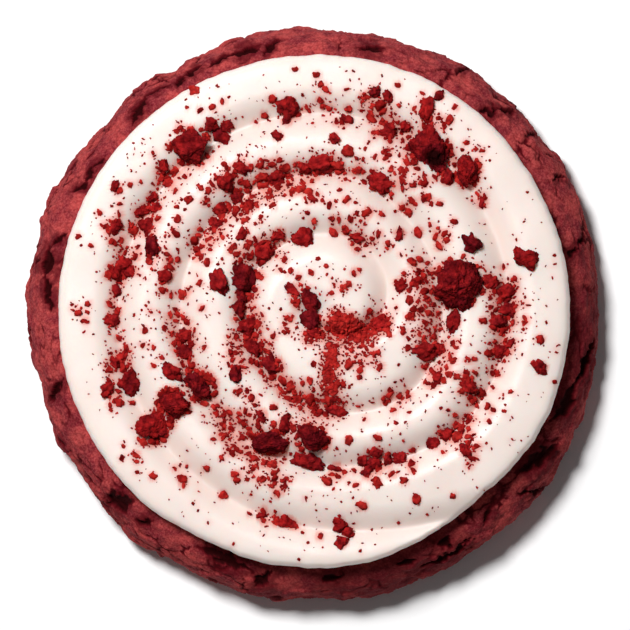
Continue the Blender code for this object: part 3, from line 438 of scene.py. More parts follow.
# Red tint that damp crumbs leave on the icing, fainter where it is steeper than the lean
STAIN_CELL = 0.4 * MM
STAIN_BLUR_PASSES = 4
STAIN_GATHER = 9.5
STAIN_STEEPNESS = 1.5
STAIN_STRENGTH = 0.85
STAIN_LEAN = 0.5

# Camera straight overhead, seen through a long lens
FRAME_PIXELS = 630
MM_PER_PIXEL = 0.1958
COOKIE_CENTRE_PIXEL = (312.5, 313.0)
CAMERA_HEIGHT = 2.0
CAMERA_REACH = 10.0
SENSOR_WIDTH = 36.0

# Floor and light
FLOOR_REACH = 1.5
FLOOR_DROP = 0.02 * MM
KEY_AZIMUTH = 128
KEY_ELEVATION = 64
KEY_DISTANCE = 1.2
KEY_SIZE = 0.30
KEY_POWER = 16.2
SKY_STRENGTH = 0.095

# Colours, each pair the two ends of a soft mottle
WHITE = (1.0, 1.0, 1.0, 1.0)
CRUST = ((0.45, 0.055, 0.053, 1.0), (0.17, 0.010, 0.021, 1.0))
CRUST_GRAIN = ((0.57, 0.12, 0.11, 1.0), (0.14, 0.007, 0.013, 1.0))
CRUST_PORE = (0.07, 0.003, 0.006, 1.0)
# Painted shade on the rim round the fissures and on its side away from the light
SHADED_CRUST = (0.085, 0.003, 0.007, 1.0)
# Painted shade down the fissures: on their sides, then on their floors
FISSURE_SIDE_SHADE = (0.085, 0.003, 0.006, 1.0)
FISSURE_FLOOR_SHADE = (0.026, 0.0013, 0.0020, 1.0)
CREAM = ((0.872, 0.768, 0.713, 1.0), (0.872, 0.748, 0.693, 1.0))
# Painted shade, tinted pink, in the icing's grooves
GROOVE_SHADE_CREAM = (0.82, 0.64, 0.57, 1.0)
STAINED_CREAM = (0.83, 0.26, 0.205, 1.0)
LARGE_CRUMB_BRIGHT = ((0.52, 0.019, 0.018, 1.0), (0.32, 0.007, 0.008, 1.0))
LARGE_CRUMB_DARK = ((0.18, 0.006, 0.011, 1.0), (0.085, 0.002, 0.0035, 1.0))
SMALL_CRUMB_BRIGHT = ((0.62, 0.034, 0.027, 1.0), (0.44, 0.014, 0.012, 1.0))
SMALL_CRUMB_DARK = ((0.32, 0.008, 0.008, 1.0), (0.18, 0.004, 0.004, 1.0))
CRUMB_PORE = (0.06, 0.001, 0.003, 1.0)
# Painted shade, nearly black, for the highest tones: in the pit and at dark feet
DEEPEST_SHADE = (0.016, 0.0006, 0.0008, 1.0)

# Sizes of the patterns, as noise scales per metre
CRUST_PATCHES = 260.0
CRUST_FINE_PATCHES = 2600.0
CREAM_PATCHES = 60.0
CREAM_SMEARS = 420.0
CRUMB_PATCHES = 700.0
CRUMB_TONE_PATCHES = 520.0
CRUMB_GRAINS = 1900.0
PORE_SCALE_SHARE = 0.55
PORE_SINK = -0.5

# The fine relief of each surface: strength and depth
CRUST_RELIEF = (0.5, 0.2 * MM)
CREAM_RELIEF = (0.12, 0.4 * MM)
LARGE_CRUMB_RELIEF = (0.9, 0.3 * MM)
SMALL_CRUMB_RELIEF = (0.9, 0.15 * MM)

# How strongly one colour covers another, and between which values a mask goes from none to full
CRUST_GRAIN_SHARE = 0.3
CRUST_PORE_SHARE = 0.35
CRUMB_PORE_SHARE = 0.5
GROOVE_SHADE_SHARE = 0.5
MOTTLE_SPAN = (0.36, 0.64)
PORE_SPAN = (0.45, 0.85)
RIM_SHADE_SPAN = (0.1, 0.9)
RIM_SHADE_SHARES = (0.0, 0.75)
FISSURE_SIDE_SPAN = (0.0, 0.45)
FISSURE_FLOOR_SPAN = (0.35, 1.0)
CRUMB_TONE_SPAN = (0.3, 0.7)
CRUMB_TONE_SHIFTS = (-0.35, 0.35)
DEEPEST_SHADE_SPAN = (1.35, 2.1)

# How dull each surface is, and how light scatters inside the icing
CRUST_ROUGHNESS = 0.8
CRUMB_ROUGHNESS = 0.75
CREAM_ROUGHNESS = 0.42
DULL_SPECULAR = 0.04
CREAM_SCATTER = 0.6
CREAM_SCATTER_SPREAD = (1.0, 0.5, 0.38)
CREAM_SCATTER_DEPTH = 2.2 * MM


# Small helpers


def hump(distance, reach):
    """1 at no distance, falling smoothly to 0 at the reach."""
    share = np.minimum(1.0, np.abs(distance) / reach)
    return (1.0 - share * share) ** 2


def angle_gap(a, b):
    return (a - b + 180.0) % 360.0 - 180.0


def smooth_value(knots, at):
    """The value between given knots, on a smooth curve through them."""
    if at <= knots[0][0]:
        return knots[0][1]
    if at >= knots[-1][0]:
        return knots[-1][1]
    index = max(i for i, knot in enumerate(knots) if knot[0] <= at)

    def slope(i):
        before = knots[max(0, i - 1)]
        after = knots[min(len(knots) - 1, i + 1)]
        return (after[1] - before[1]) / (after[0] - before[0])

    x0, y0 = knots[index]
    x1, y1 = knots[index + 1]
    width = x1 - x0
    s = (at - x0) / width
    start = (1 + 2 * s) * (1 - s) ** 2 * y0 + s * (1 - s) ** 2 * width * slope(index)
    end = s * s * (3 - 2 * s) * y1 - s * s * (1 - s) * width * slope(index + 1)
    return start + end


def roughness_at(points, size, octaves=1, fall=1.0, lacunarity=2.0, shift=0.0):
    """Fractal noise of about -1 to 1 at each of many points. A shift takes another part of it."""
    scaled = np.asarray(points) / size + shift
    return np.array([noise.fractal(point, fall, lacunarity, octaves) for point in scaled.tolist()])


def coordinates(mesh):
    flat = np.empty(len(mesh.vertices) * 3)
    mesh.vertices.foreach_get("co", flat)
    return flat.reshape(-1, 3)


def move_to(mesh, points):
    mesh.vertices.foreach_set("co", np.ascontiguousarray(points).ravel())
    mesh.update()


def set_attribute(mesh, name, values):
    layer = mesh.attributes.new(name, "FLOAT", "POINT")
    layer.data.foreach_set("value", np.ascontiguousarray(values, dtype=np.float32))


def mesh_from(bm, name):
    mesh = bpy.data.meshes.new(name)
    bm.to_mesh(mesh)
    bm.free()
    mesh.shade_smooth()
    return mesh


def close_up(bm):
    """Fills what is still open and turns the faces outwards."""
    bmesh.ops.holes_fill(bm, edges=[edge for edge in bm.edges if edge.is_boundary], sides=0)
    bmesh.ops.recalc_face_normals(bm, faces=bm.faces)


def show(mesh, material, slot, *nodes):
    """Places a finished mesh in the scene, on the one body that the cookie has."""
    mesh.materials.append(material)
    piece = bpy.data.objects.new(mesh.name, mesh)
    bpy.context.scene.collection.objects.link(piece)
    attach(piece, "root")
    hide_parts(*nodes)


# Materials


def feed(tree, socket, value):
    if isinstance(value, bpy.types.NodeSocket):
        tree.links.new(value, socket)
    else:
        socket.default_value = value


def add(tree, kind, settings=None, **inputs):
    """A node with its settings and its inputs, named with underscores for spaces."""
    node = tree.nodes.new(kind)
    for name, value in (settings or {}).items():
        setattr(node, name, value)
    for name, value in inputs.items():
        feed(tree, node.inputs[name.replace("_", " ")], value)
    return node


def blend_colour(tree, factor, first, second):
    node = tree.nodes.new("ShaderNodeMix")
    node.data_type = "RGBA"
    feed(tree, node.inputs[0], factor)
    feed(tree, node.inputs[6], first)
    feed(tree, node.inputs[7], second)
    return node.outputs[2]


def calculate(tree, operation, first, second):
    node = tree.nodes.new("ShaderNodeMath")
    node.operation = operation
    feed(tree, node.inputs[0], first)
    feed(tree, node.inputs[1], second)
    return node.outputs[0]


def stretch(tree, value, span, onto=(0.0, 1.0)):
    """A value moved smoothly from one span onto another, and held at its ends."""
    smooth = {"interpolation_type": "SMOOTHSTEP"}
    ends = {"From_Min": span[0], "From_Max": span[1], "To_Min": onto[0], "To_Max": onto[1]}
    return add(tree, "ShaderNodeMapRange", smooth, Value=value, **ends).outputs["Result"]


def noise_texture(tree, place, scale, detail, roughness):
    inputs = {"Vector": place, "Scale": scale, "Detail": detail, "Roughness": roughness}
    return add(tree, "ShaderNodeTexNoise", **inputs).outputs["Fac"]


def attribute(tree, name):
    return add(tree, "ShaderNodeAttribute", {"attribute_name": name}).outputs["Fac"]


def start_group(name, inputs, outputs):
    """A shader node group with named sockets, each of its kind: Vector, Float or Color."""
    group = bpy.data.node_groups.new(name, "ShaderNodeTree")
    for in_out, sockets in (("INPUT", inputs), ("OUTPUT", outputs)):
        for socket, kind in sockets.items():
            group.interface.new_socket(name=socket, in_out=in_out, socket_type="NodeSocket" + kind)
    return group, group.nodes.new("NodeGroupInput").outputs, group.nodes.new("NodeGroupOutput").inputs


def cake_grain_group():
    """The grain of baked cake: a rough height, and pores that sink between the grains."""
    group, given, result = start_group(
        "cake_grain", {"Vector": "Vector", "Scale": "Float"}, {"Height": "Float", "Pores": "Float"}
    )
    rough = noise_texture(group, given["Vector"], given["Scale"], detail=5.0, roughness=0.65)
    wide = calculate(group, "MULTIPLY", given["Scale"], PORE_SCALE_SHARE)
    grains = add(group, "ShaderNodeTexVoronoi", Vector=given["Vector"], Scale=wide, Randomness=1.0)
    pores = stretch(group, grains.outputs["Distance"], PORE_SPAN)
    sunk = calculate(group, "MULTIPLY", pores, PORE_SINK)
    feed(group, result["Height"], calculate(group, "ADD", rough, sunk))
    feed(group, result["Pores"], pores)
    return group


def mottle_group():
    """Soft patches between two colours."""
    inputs = {"Vector": "Vector", "Scale": "Float", "First": "Color", "Second": "Color"}
    group, given, result = start_group("mottle", inputs, {"Color": "Color"})
    patches = noise_texture(group, given["Vector"], given["Scale"], detail=4.0, roughness=0.6)
    mask = stretch(group, patches, MOTTLE_SPAN)
    feed(group, result["Color"], blend_colour(group, mask, given["First"], given["Second"]))
    return group


def use_group(tree, group, **inputs):
    node = tree.nodes.new("ShaderNodeGroup")
    node.node_tree = group
    for name, value in inputs.items():
        feed(tree, node.inputs[name], value)
    return node.outputs


def mottled(tree, mottle, place, scale, colours):
    first, second = colours
    return use_group(tree, mottle, Vector=place, Scale=scale, First=first, Second=second)["Color"]


def start_material(name):
    material = bpy.data.materials.new(name)
    material.use_nodes = True
    tree = material.node_tree
    place = add(tree, "ShaderNodeTexCoord").outputs["Object"]
    return material, tree, tree.nodes["Principled BSDF"], place


def finish_surface(tree, shader, colour, roughness, height, relief):
    """Gives a shader its colour, its dullness, and a fine relief of a strength and a depth."""
    strength, depth = relief
    bump = add(tree, "ShaderNodeBump", Strength=strength, Distance=depth, Height=height)
    feed(tree, shader.inputs["Base Color"], colour)
    feed(tree, shader.inputs["Roughness"], roughness)
    feed(tree, shader.inputs["Normal"], bump.outputs["Normal"])


def cookie_material(grain, mottle):
    material, tree, shader, place = start_material("baked_red_velvet")
    crust = mottled(tree, mottle, place, CRUST_PATCHES, CRUST)
    fine = mottled(tree, mottle, place, CRUST_FINE_PATCHES, CRUST_GRAIN)
    surface = use_group(tree, grain, Vector=place, Scale=CRUST_FINE_PATCHES)
    flecked = blend_colour(tree, CRUST_GRAIN_SHARE, crust, fine)
    pores = calculate(tree, "MULTIPLY", surface["Pores"], CRUST_PORE_SHARE)
    pored = blend_colour(tree, pores, flecked, CRUST_PORE)
    fissure = attribute(tree, "fissure")
    # Painted shade round the fissures and on the rim's shaded stretches
    rim_shade = stretch(tree, attribute(tree, "rim_shade"), RIM_SHADE_SPAN, RIM_SHADE_SHARES)
    rim_shaded = blend_colour(tree, rim_shade, pored, SHADED_CRUST)
    # Painted shade: darker down the fissures' and plate gaps' sides, near black on their floors
    edged = blend_colour(tree, stretch(tree, fissure, FISSURE_SIDE_SPAN), rim_shaded, FISSURE_SIDE_SHADE)
    colour = blend_colour(tree, stretch(tree, fissure, FISSURE_FLOOR_SPAN), edged, FISSURE_FLOOR_SHADE)
    finish_surface(tree, shader, colour, CRUST_ROUGHNESS, surface["Height"], CRUST_RELIEF)
    shader.inputs["Specular IOR Level"].default_value = DULL_SPECULAR
    return material


def crumb_material(name, grain, mottle, bright_tones, dark_tones, relief):
    """Cake, from bright to dark by each crumb's tone, with painted shade at the foot and darkest in the
    pit.
    """
    material, tree, shader, place = start_material(name)
    patches = noise_texture(tree, place, CRUMB_TONE_PATCHES, detail=3.0, roughness=0.6)
    tone = attribute(tree, "tone")
    shift = stretch(tree, patches, CRUMB_TONE_SPAN, CRUMB_TONE_SHIFTS)
    uneven = calculate(tree, "ADD", tone, shift)
    bright = mottled(tree, mottle, place, CRUMB_PATCHES, bright_tones)
    dark = mottled(tree, mottle, place, CRUMB_PATCHES, dark_tones)
    surface = use_group(tree, grain, Vector=place, Scale=CRUMB_GRAINS)
    body = blend_colour(tree, uneven, bright, dark)
    pores = calculate(tree, "MULTIPLY", surface["Pores"], CRUMB_PORE_SHARE)
    pored = blend_colour(tree, pores, body, CRUMB_PORE)
    # Painted shade: the highest tones, in the pit and at dark feet, go nearly black
    colour = blend_colour(tree, stretch(tree, tone, DEEPEST_SHADE_SPAN), pored, DEEPEST_SHADE)
    finish_surface(tree, shader, colour, CRUMB_ROUGHNESS, surface["Height"], relief)
    shader.inputs["Specular IOR Level"].default_value = DULL_SPECULAR
    return material


def icing_material(mottle):
    material, tree, shader, place = start_material("cream_cheese_icing")
    cream = mottled(tree, mottle, place, CREAM_PATCHES, CREAM)
    # Painted shade, tinted pink, deepest at the bottom of the grooves
    hollow = calculate(tree, "MULTIPLY", attribute(tree, "hollow"), GROOVE_SHADE_SHARE)
    groove_shaded = blend_colour(tree, hollow, cream, GROOVE_SHADE_CREAM)
    stained = blend_colour(tree, attribute(tree, "stain"), groove_shaded, STAINED_CREAM)
    smears = noise_texture(tree, place, CREAM_SMEARS, detail=3.0, roughness=0.5)
    finish_surface(tree, shader, stained, CREAM_ROUGHNESS, smears, CREAM_RELIEF)
    shader.inputs["Subsurface Weight"].default_value = CREAM_SCATTER
    shader.inputs["Subsurface Radius"].default_value = CREAM_SCATTER_SPREAD
    shader.inputs["Subsurface Scale"].default_value = CREAM_SCATTER_DEPTH
    return material


# Cookie

OUTLINE_DEGREES = np.arange(0, 361)
OUTLINE_SWELLS = np.array([smooth_value(OUTLINE, degree) * MM for degree in OUTLINE_DEGREES])


def rim_point(turn):
    """Radius and height on the rim's section, from the flat top (0 degrees) to the foot (180)."""
    out = math.sin(turn)
    up = math.cos(turn)
    power = 2.0 / (SHOULDER_ROUNDNESS if up >= 0 else FOOT_ROUNDNESS)
    radius = COOKIE_RADIUS - RIM_DEPTH + RIM_DEPTH * abs(out) ** power
    reach = COOKIE_HEIGHT - WIDEST_AT if up >= 0 else WIDEST_AT
    return radius, WIDEST_AT + math.copysign(reach * abs(up) ** power, up)


def rim_turn(radius, height):
    """The turn of points on the rim's section: rim_point the other way round."""
    up = height - WIDEST_AT
    above = up >= 0
    power = np.where(above, SHOULDER_ROUNDNESS, FOOT_ROUNDNESS) / 2.0
    reach = np.where(above, COOKIE_HEIGHT - WIDEST_AT, WIDEST_AT)
    out_share = np.maximum(0.0, (radius - COOKIE_RADIUS + RIM_DEPTH) / RIM_DEPTH) ** power
    up_share = np.minimum(1.0, np.abs(up) / reach) ** power
    return np.arctan2(out_share, np.where(above, up_share, -up_share))


def unrolled(angle, turn):
    """Where points of the rim lie when the rim is rolled out flat."""
    return np.stack([np.radians(angle) * COOKIE_RADIUS, turn * (RIM_DEPTH + WIDEST_AT) / 2], axis=-1)


def shoulder_turn(radius_mm):
    share = (radius_mm * MM - COOKIE_RADIUS + RIM_DEPTH) / RIM_DEPTH
    return math.asin(min(1.0, max(0.0, share)))


def all_fissures():
    """Each fissure as its middle angle, its two ends rolled out about it, depth and half width."""
    found = []
    for angle_a, radius_a, angle_b, radius_b, depth, half_width in FISSURES:
        middle = (angle_a + angle_b) / 2
        start = unrolled(angle_a - middle, shoulder_turn(radius_a))
        end = unrolled(angle_b - middle, shoulder_turn(radius_b))
        found.append((middle, start, end, depth, half_width))
    draw = random.Random(SIDE_FISSURE_SEED)
    for index in range(SIDE_FISSURES):
        stray = draw.uniform(-SIDE_FISSURE_STRAY, SIDE_FISSURE_STRAY)
        lean = draw.uniform(-SIDE_FISSURE_LEAN, SIDE_FISSURE_LEAN)
        start = unrolled(-lean, math.radians(draw.uniform(*SIDE_FISSURE_START)))
        end = unrolled(lean, math.radians(draw.uniform(*SIDE_FISSURE_END)))
        middle = (index + stray) * 360.0 / SIDE_FISSURES
        found.append((middle, start, end, draw.uniform(*SIDE_FISSURE_DEPTH), SIDE_FISSURE_HALF_WIDTH))
    draw = random.Random(HAIRLINE_SEED)
    for _ in range(HAIRLINES):
        middle = draw.uniform(0, 360)
        start = unrolled(0.0, math.radians(draw.uniform(*HAIRLINE_START)))
        heading = draw.uniform(0, math.tau)
        length = draw.uniform(*HAIRLINE_LENGTH)
        end = start + length * np.array([math.cos(heading), math.sin(heading)])
        found.append((middle, start, end, draw.uniform(*HAIRLINE_DEPTH), HAIRLINE_HALF_WIDTH))
    return found


def distance_to_line(points, start, end):
    along = end - start
    share = np.clip((points - start) @ along / (along @ along), 0.0, 1.0)
    return np.linalg.norm(points - start - share[:, None] * along, axis=1), share


def fissure_relief(points, angle, turn):
    """How deep the fissures are at each point, jagged lines that taper, and the painted shade round them.
    """
    strays = [
        sum(
            far * roughness_at(points, size, 2, shift=shift + 5.0 * index)
            for index, (far, size) in enumerate(FISSURE_STRAYS)
        )
        for shift in (11.0, 23.0)
    ]
    wander = np.stack(strays, axis=-1)
    swelling = 1.0 + FISSURE_SWELL * roughness_at(points, FISSURE_SWELL_SIZE, 2, shift=40.0)
    patchy = 1.0 + FISSURE_SHADE_PATCHINESS * roughness_at(points, FISSURE_SHADE_PATCH_SIZE, 3, shift=31.0)
    depths = np.zeros(len(points))
    rim_shade = np.zeros(len(points))
    for middle, start, end, depth, half_width in all_fissures():
        gap = angle_gap(angle, middle)
        near = np.flatnonzero(np.abs(gap) < FISSURE_NEAR)
        spots = unrolled(gap[near], turn[near]) + wander[near]
        distance, share = distance_to_line(spots, start, end)
        taper = np.sqrt(np.clip(4.0 * share * (1.0 - share), FISSURE_END_TAPER, 1.0))
        width = np.maximum(half_width * MM * swelling[near] * taper, 0.01 * MM)
        wall = np.clip(FISSURE_WALL - FISSURE_WALL * distance / width, 0.0, 1.0)
        depths[near] = np.maximum(depths[near], depth * MM * taper * wall * wall * (3.0 - 2.0 * wall))
        # Painted shade round the fissure, fading away from it
        spread = np.exp(-((distance / (FISSURE_SHADE_REACH * half_width * MM)) ** 2))
        rim_shade[near] = np.maximum(rim_shade[near], depth * taper * spread * patchy[near])
    return depths, np.clip(rim_shade, 0.0, 1.0)


def plate_relief(points, outwards):
    """The crust's plates: how deep the gaps between them are, and how high each plate stands."""
    radius = np.hypot(points[:, 0], points[:, 1])
    stretched = outwards * (COOKIE_RADIUS + PLATE_STRETCH * (radius - COOKIE_RADIUS))[:, None]
    stretched[:, 2] = PLATE_STRETCH * points[:, 2]
    for axis in range(3):
        stretched[:, axis] += PLATE_WARP * roughness_at(points, PLATE_WARP_SIZE, 3, shift=90.0 + 7 * axis)
    cells = [noise.voronoi(spot) for spot in (stretched / PLATE_SIZE).tolist()]
    between = np.array([distances[1] - distances[0] for distances, _ in cells])
    step = np.array([noise.cell(centres[0]) for _, centres in cells])
    patchy = PLATE_GAP_PATCHINESS * roughness_at(points, PLATE_PATCH_SIZE, 2, shift=55.0)
    gap = np.clip(1.0 - between / PLATE_GAP_SHARE, 0.0, 1.0) ** PLATE_GAP_SHARPNESS
    gap = gap * np.clip(PLATE_GAPS_OPEN + patchy, 0.0, 1.0)
    return PLATE_GAP_DEPTH * gap, PLATE_STEP * step * np.clip(between / PLATE_STEP_RISE, 0.0, 1.0)


def outline_swell(angle):
    return np.interp(angle % 360.0, OUTLINE_DEGREES, OUTLINE_SWELLS)


def turned_cookie():
    bm = bmesh.new()
    turns = [math.pi / 2 * row / SHOULDER_ROWS for row in range(SHOULDER_ROWS)]
    turns += [math.pi / 2 * (1 + row / FOOT_ROWS) for row in range(FOOT_ROWS + 1)]
    rim = [rim_point(turn) for turn in turns]
    top = [(radius, COOKIE_HEIGHT) for radius in reversed(CORE_RINGS)]
    foot = [(radius, 0.0) for radius in CORE_RINGS]
    section = [bm.verts.new((radius, 0.0, height)) for radius, height in top + rim + foot]
    edges = [bm.edges.new(pair) for pair in zip(section, section[1:])]
    bmesh.ops.spin(
        bm,
        geom=section + edges,
        cent=(0.0, 0.0, 0.0),
        axis=(0.0, 0.0, 1.0),
        angle=math.tau,
        steps=COOKIE_STEPS,
        use_merge=True,
    )
    bmesh.ops.remove_doubles(bm, verts=bm.verts, dist=0.001 * MM)
    close_up(bm)
    return mesh_from(bm, "cookie_base")


def build_cookie(material):
    mesh = turned_cookie()
    points = coordinates(mesh)
    radius = np.hypot(points[:, 0], points[:, 1])
    angle = np.degrees(np.arctan2(points[:, 1], points[:, 0]))
    turn = rim_turn(radius, points[:, 2])
    outwards = np.stack([points[:, 0] / radius, points[:, 1] / radius, np.zeros(len(points))], axis=-1)
    from_core = outwards * np.sin(turn)[:, None]
    from_core[:, 2] += np.cos(turn)
    crag = CRAG_HEIGHT * roughness_at(points, CRAG_SIZE, CRAG_OCTAVES, CRAG_FALL, CRAG_LACUNARITY)
    grain = CRUMB_GRAIN_HEIGHT * roughness_at(points, CRUMB_GRAIN_SIZE, 3, 0.6, shift=70.0)
    gap, step = plate_relief(points, outwards)
    fissure, rim_shade = fissure_relief(points, angle, turn)
    fissure = np.maximum(fissure, gap)
    # Painted shade on the stretches of rim that face away from the light
    for at, reach, share in SHADED_RIM_STRETCHES:
        rim_shade = 1.0 - (1.0 - rim_shade) * (1.0 - share * hump(angle_gap(angle, at), reach))
    rim_share = np.sqrt(np.maximum(0.0, np.sin(turn)))
    relief = (crag + grain + step - fissure) * rim_share
    swell = outline_swell(angle) * np.sin(np.minimum(turn, SWELL_FULL_TO))
    move_to(mesh, points + from_core * relief[:, None] + outwards * swell[:, None])
    # These attributes feed the painted shade in the crust's colour
    set_attribute(mesh, "fissure", np.clip(fissure / MM, 0.0, 1.0))
    set_attribute(mesh, "rim_shade", rim_shade)
    show(mesh, material, "cookie_dough", "cookie")


# Icing


GROOVE_DEGREES = np.arange(0, 360 * TURNS_OF_GROOVE + 1)
GROOVE_RADII = np.array([max(0.0, smooth_value(GROOVE, degree)) * MM for degree in GROOVE_DEGREES])


def ring_points(radius, angle, height, centre=ICING_CENTRE):
    turn = np.radians(angle)
    return np.stack([radius * np.cos(turn), radius * np.sin(turn), height], axis=-1) + np.array(centre)


WAVER_DEGREES = np.arange(0, 360 + EDGE_WAVER_STEP, EDGE_WAVER_STEP)
WAVER_CIRCLE = ring_points(ICING_RADIUS, WAVER_DEGREES, 0 * WAVER_DEGREES, Vector())
EDGE_WAVERS = EDGE_WAVER * roughness_at(WAVER_CIRCLE, EDGE_WAVER_SIZE, 3, 0.7)


def edge_radius(angle):
    swells = sum(out * MM * hump(angle_gap(angle, at), reach) for at, reach, out in EDGE_SWELLS)
    return ICING_RADIUS + swells + np.interp(angle % 360.0, WAVER_DEGREES, EDGE_WAVERS)


def rope_between(radius, angle):
    """The two grooves, or the groove and the edge, that the rope lies between at each place."""
    turned = (TAIL_ANGLE - angle) % 360.0
    outer = edge_radius(angle) + EDGE_FULLNESS
    inner = np.zeros_like(radius)
    found = np.zeros(radius.shape, bool)
    for turn in range(TURNS_OF_GROOVE):
        groove = np.interp(turned + 360.0 * turn, GROOVE_DEGREES, GROOVE_RADII)
        here = ~found & (radius >= groove)
        inner = np.where(here, groove, inner)
        found |= here
        outer = np.where(found, outer, groove)
    return inner, outer


def rounded_off(distance):
    """Distances from the groove, flattened near it so that the groove's bottom is round."""
    return np.hypot(distance, GROOVE_ROUNDING) - GROOVE_ROUNDING


def tail_fill(angle, groove):
    """How much higher a groove lies at each place: only its first stretch does, next to the tail."""
    turned = (TAIL_ANGLE - angle) % 360.0
    first = groove == np.interp(turned, GROOVE_DEGREES, GROOVE_RADII)
    flank = np.clip((edge_radius(angle) + EDGE_FULLNESS - groove) / 2, 0.0, ROPE_FLANK)
    fill = TAIL_FILL * np.maximum(0.0, 1.0 - turned / TAIL_FADE) * ROPE_RISE * flank / ROPE_FLANK
    return np.where(first, fill, 0.0)


def rope_height(radius, angle):
    """Height of the icing over the cookie's top, before its edge rolls down, and how hollow it is."""
    inner, outer = rope_between(radius, angle)
    width = np.maximum(outer - inner, 0.1 * MM)
    flank = np.minimum(ROPE_FLANK, width / 2)
    nearest = np.minimum(radius - inner, outer - radius)
    fall = np.clip(1.0 - rounded_off(nearest) / rounded_off(flank), 0.0, 1.0)
    hollow = fall**2
    fill = tail_fill(angle, np.where(radius - inner == nearest, inner, outer))
    crown = ROPE_CROWN * np.sin(np.pi * np.clip((radius - inner) / width, 0.0, 1.0))
    rise = ROPE_RISE * flank / ROPE_FLANK * (1.0 - hollow) + fill * hollow
    spots = ring_points(radius, angle, np.zeros_like(radius), Vector())
    lump = LUMP_HEIGHT * roughness_at(spots, LUMP_SIZE)
    middle = MIDDLE_RISE * (1.0 - (radius / ICING_RADIUS) ** 2)
    return GROOVE_HEIGHT + middle + rise + crown + lump, hollow


def rolled_height(radius, angle, upright):
    """The icing's height where its edge rolls down: upright falls from 1 on top to 0 at the side."""
    height, hollow = rope_height(radius, angle)
    return COOKIE_HEIGHT + GAP + EDGE_HEIGHT + (height - EDGE_HEIGHT) * upright, hollow


def icing_height(x, y):
    """Height of the icing's surface at many places."""
    x = np.atleast_1d(x) - ICING_CENTRE.x
    y = np.atleast_1d(y) - ICING_CENTRE.y
    angle = np.degrees(np.arctan2(y, x))
    edge = edge_radius(angle)
    radius = np.minimum(np.hypot(x, y), edge)
    rolled = np.maximum(0.0, radius - edge + EDGE_ROLL) / EDGE_ROLL
    return rolled_height(radius, angle, np.sqrt(np.maximum(0.0, 1.0 - rolled * rolled)))[0]


def square_to_disc(u, v):
    """Even mapping of a square onto a disc: share of the radius, and angle in degrees."""
    wide = np.abs(u) >= np.abs(v)
    share = np.where(wide, np.abs(u), np.abs(v))
    safe_u = np.where(u == 0, 1.0, u)
    safe_v = np.where(v == 0, 1.0, v)
    sideways = 45.0 * v / safe_u + np.where(u > 0, 0.0, 180.0)
    upwards = 90.0 - 45.0 * u / safe_v + np.where(v > 0, 0.0, 180.0)
    return share, np.where(wide, sideways, upwards)


def tuck_edge(bm, inwards, height):
    """Draws the open edge down and inwards by one row."""
    rim = [edge for edge in bm.edges if edge.is_boundary]
    grown = bmesh.ops.extrude_edge_only(bm, edges=rim)["geom"]
    for vert in (item for item in grown if isinstance(item, bmesh.types.BMVert)):
        angle = math.degrees(math.atan2(vert.co.y - ICING_CENTRE.y, vert.co.x - ICING_CENTRE.x))
        radius = float(edge_radius(angle)) - inwards
        vert.co = ring_points(radius, angle, COOKIE_HEIGHT + GAP + height)


def icing_body():
    bm = bmesh.new()
    bmesh.ops.create_grid(bm, x_segments=ICING_CELLS, y_segments=ICING_CELLS, size=1.0)
    square = np.array([vert.co[:2] for vert in bm.verts])
    share, angle = square_to_disc(square[:, 0], square[:, 1])
    flat_share = 1.0 - EDGE_ROLL_SHARE
    roll = np.pi / 2 * np.maximum(0.0, share - flat_share) / EDGE_ROLL_SHARE
    start = edge_radius(angle) - EDGE_ROLL
    radius = start * np.minimum(1.0, share / flat_share) + EDGE_ROLL * np.sin(roll)
    height, grid_hollow = rolled_height(radius, angle, np.cos(roll))
    for vert, place in zip(bm.verts, ring_points(radius, angle, height)):
        vert.co = place
    for row in range(1, EDGE_TUCK_ROWS + 1):
        tuck = math.pi / 2 * row / EDGE_TUCK_ROWS
        height = EDGE_HEIGHT - (EDGE_HEIGHT + EDGE_SETTLE) * math.sin(tuck)
        tuck_edge(bm, EDGE_TUCK * (1 - math.cos(tuck)), height)
    close_up(bm)
    mesh = mesh_from(bm, "icing_swirl")
    hollow = np.zeros(len(mesh.vertices))
    hollow[: len(grid_hollow)] = grid_hollow
    return mesh, hollow


def stain_at(points, spots):
    """How much red the crumbs near each point leave: their cover, spread a little by blurring."""
    size = int(2 * COOKIE_RADIUS / STAIN_CELL)
    cover = np.zeros((size, size))

    def cells(places):
        return np.clip(((places + COOKIE_RADIUS) / STAIN_CELL).astype(int), 0, size - 1)

    columns, rows = cells(spots[:, 0]), cells(spots[:, 1])
    np.add.at(cover, (rows, columns), (spots[:, 2] / MM) ** 2)
    for _ in range(STAIN_BLUR_PASSES):
        for axis in (0, 1):
            cover = (np.roll(cover, 1, axis) + 2 * cover + np.roll(cover, -1, axis)) / 4
    gathered = STAIN_GATHER * cover[cells(points[:, 1]), cells(points[:, 0])]
    return 1.0 - np.exp(-(gathered**STAIN_STEEPNESS))


def build_icing(material, spots):
    mesh, hollow = icing_body()
    points = coordinates(mesh)
    facing = np.empty(3 * len(mesh.vertices))
    mesh.vertex_normals.foreach_get("vector", facing)
    stain = stain_at(points, spots) * np.clip(facing[2::3] / STAIN_LEAN, 0.0, 1.0)
    # The hollow attribute drives the painted shade in the grooves
    set_attribute(mesh, "hollow", hollow)
    set_attribute(mesh, "stain", STAIN_STRENGTH * stain)
    show(mesh, material, "icing", "icing")


# Crumbs


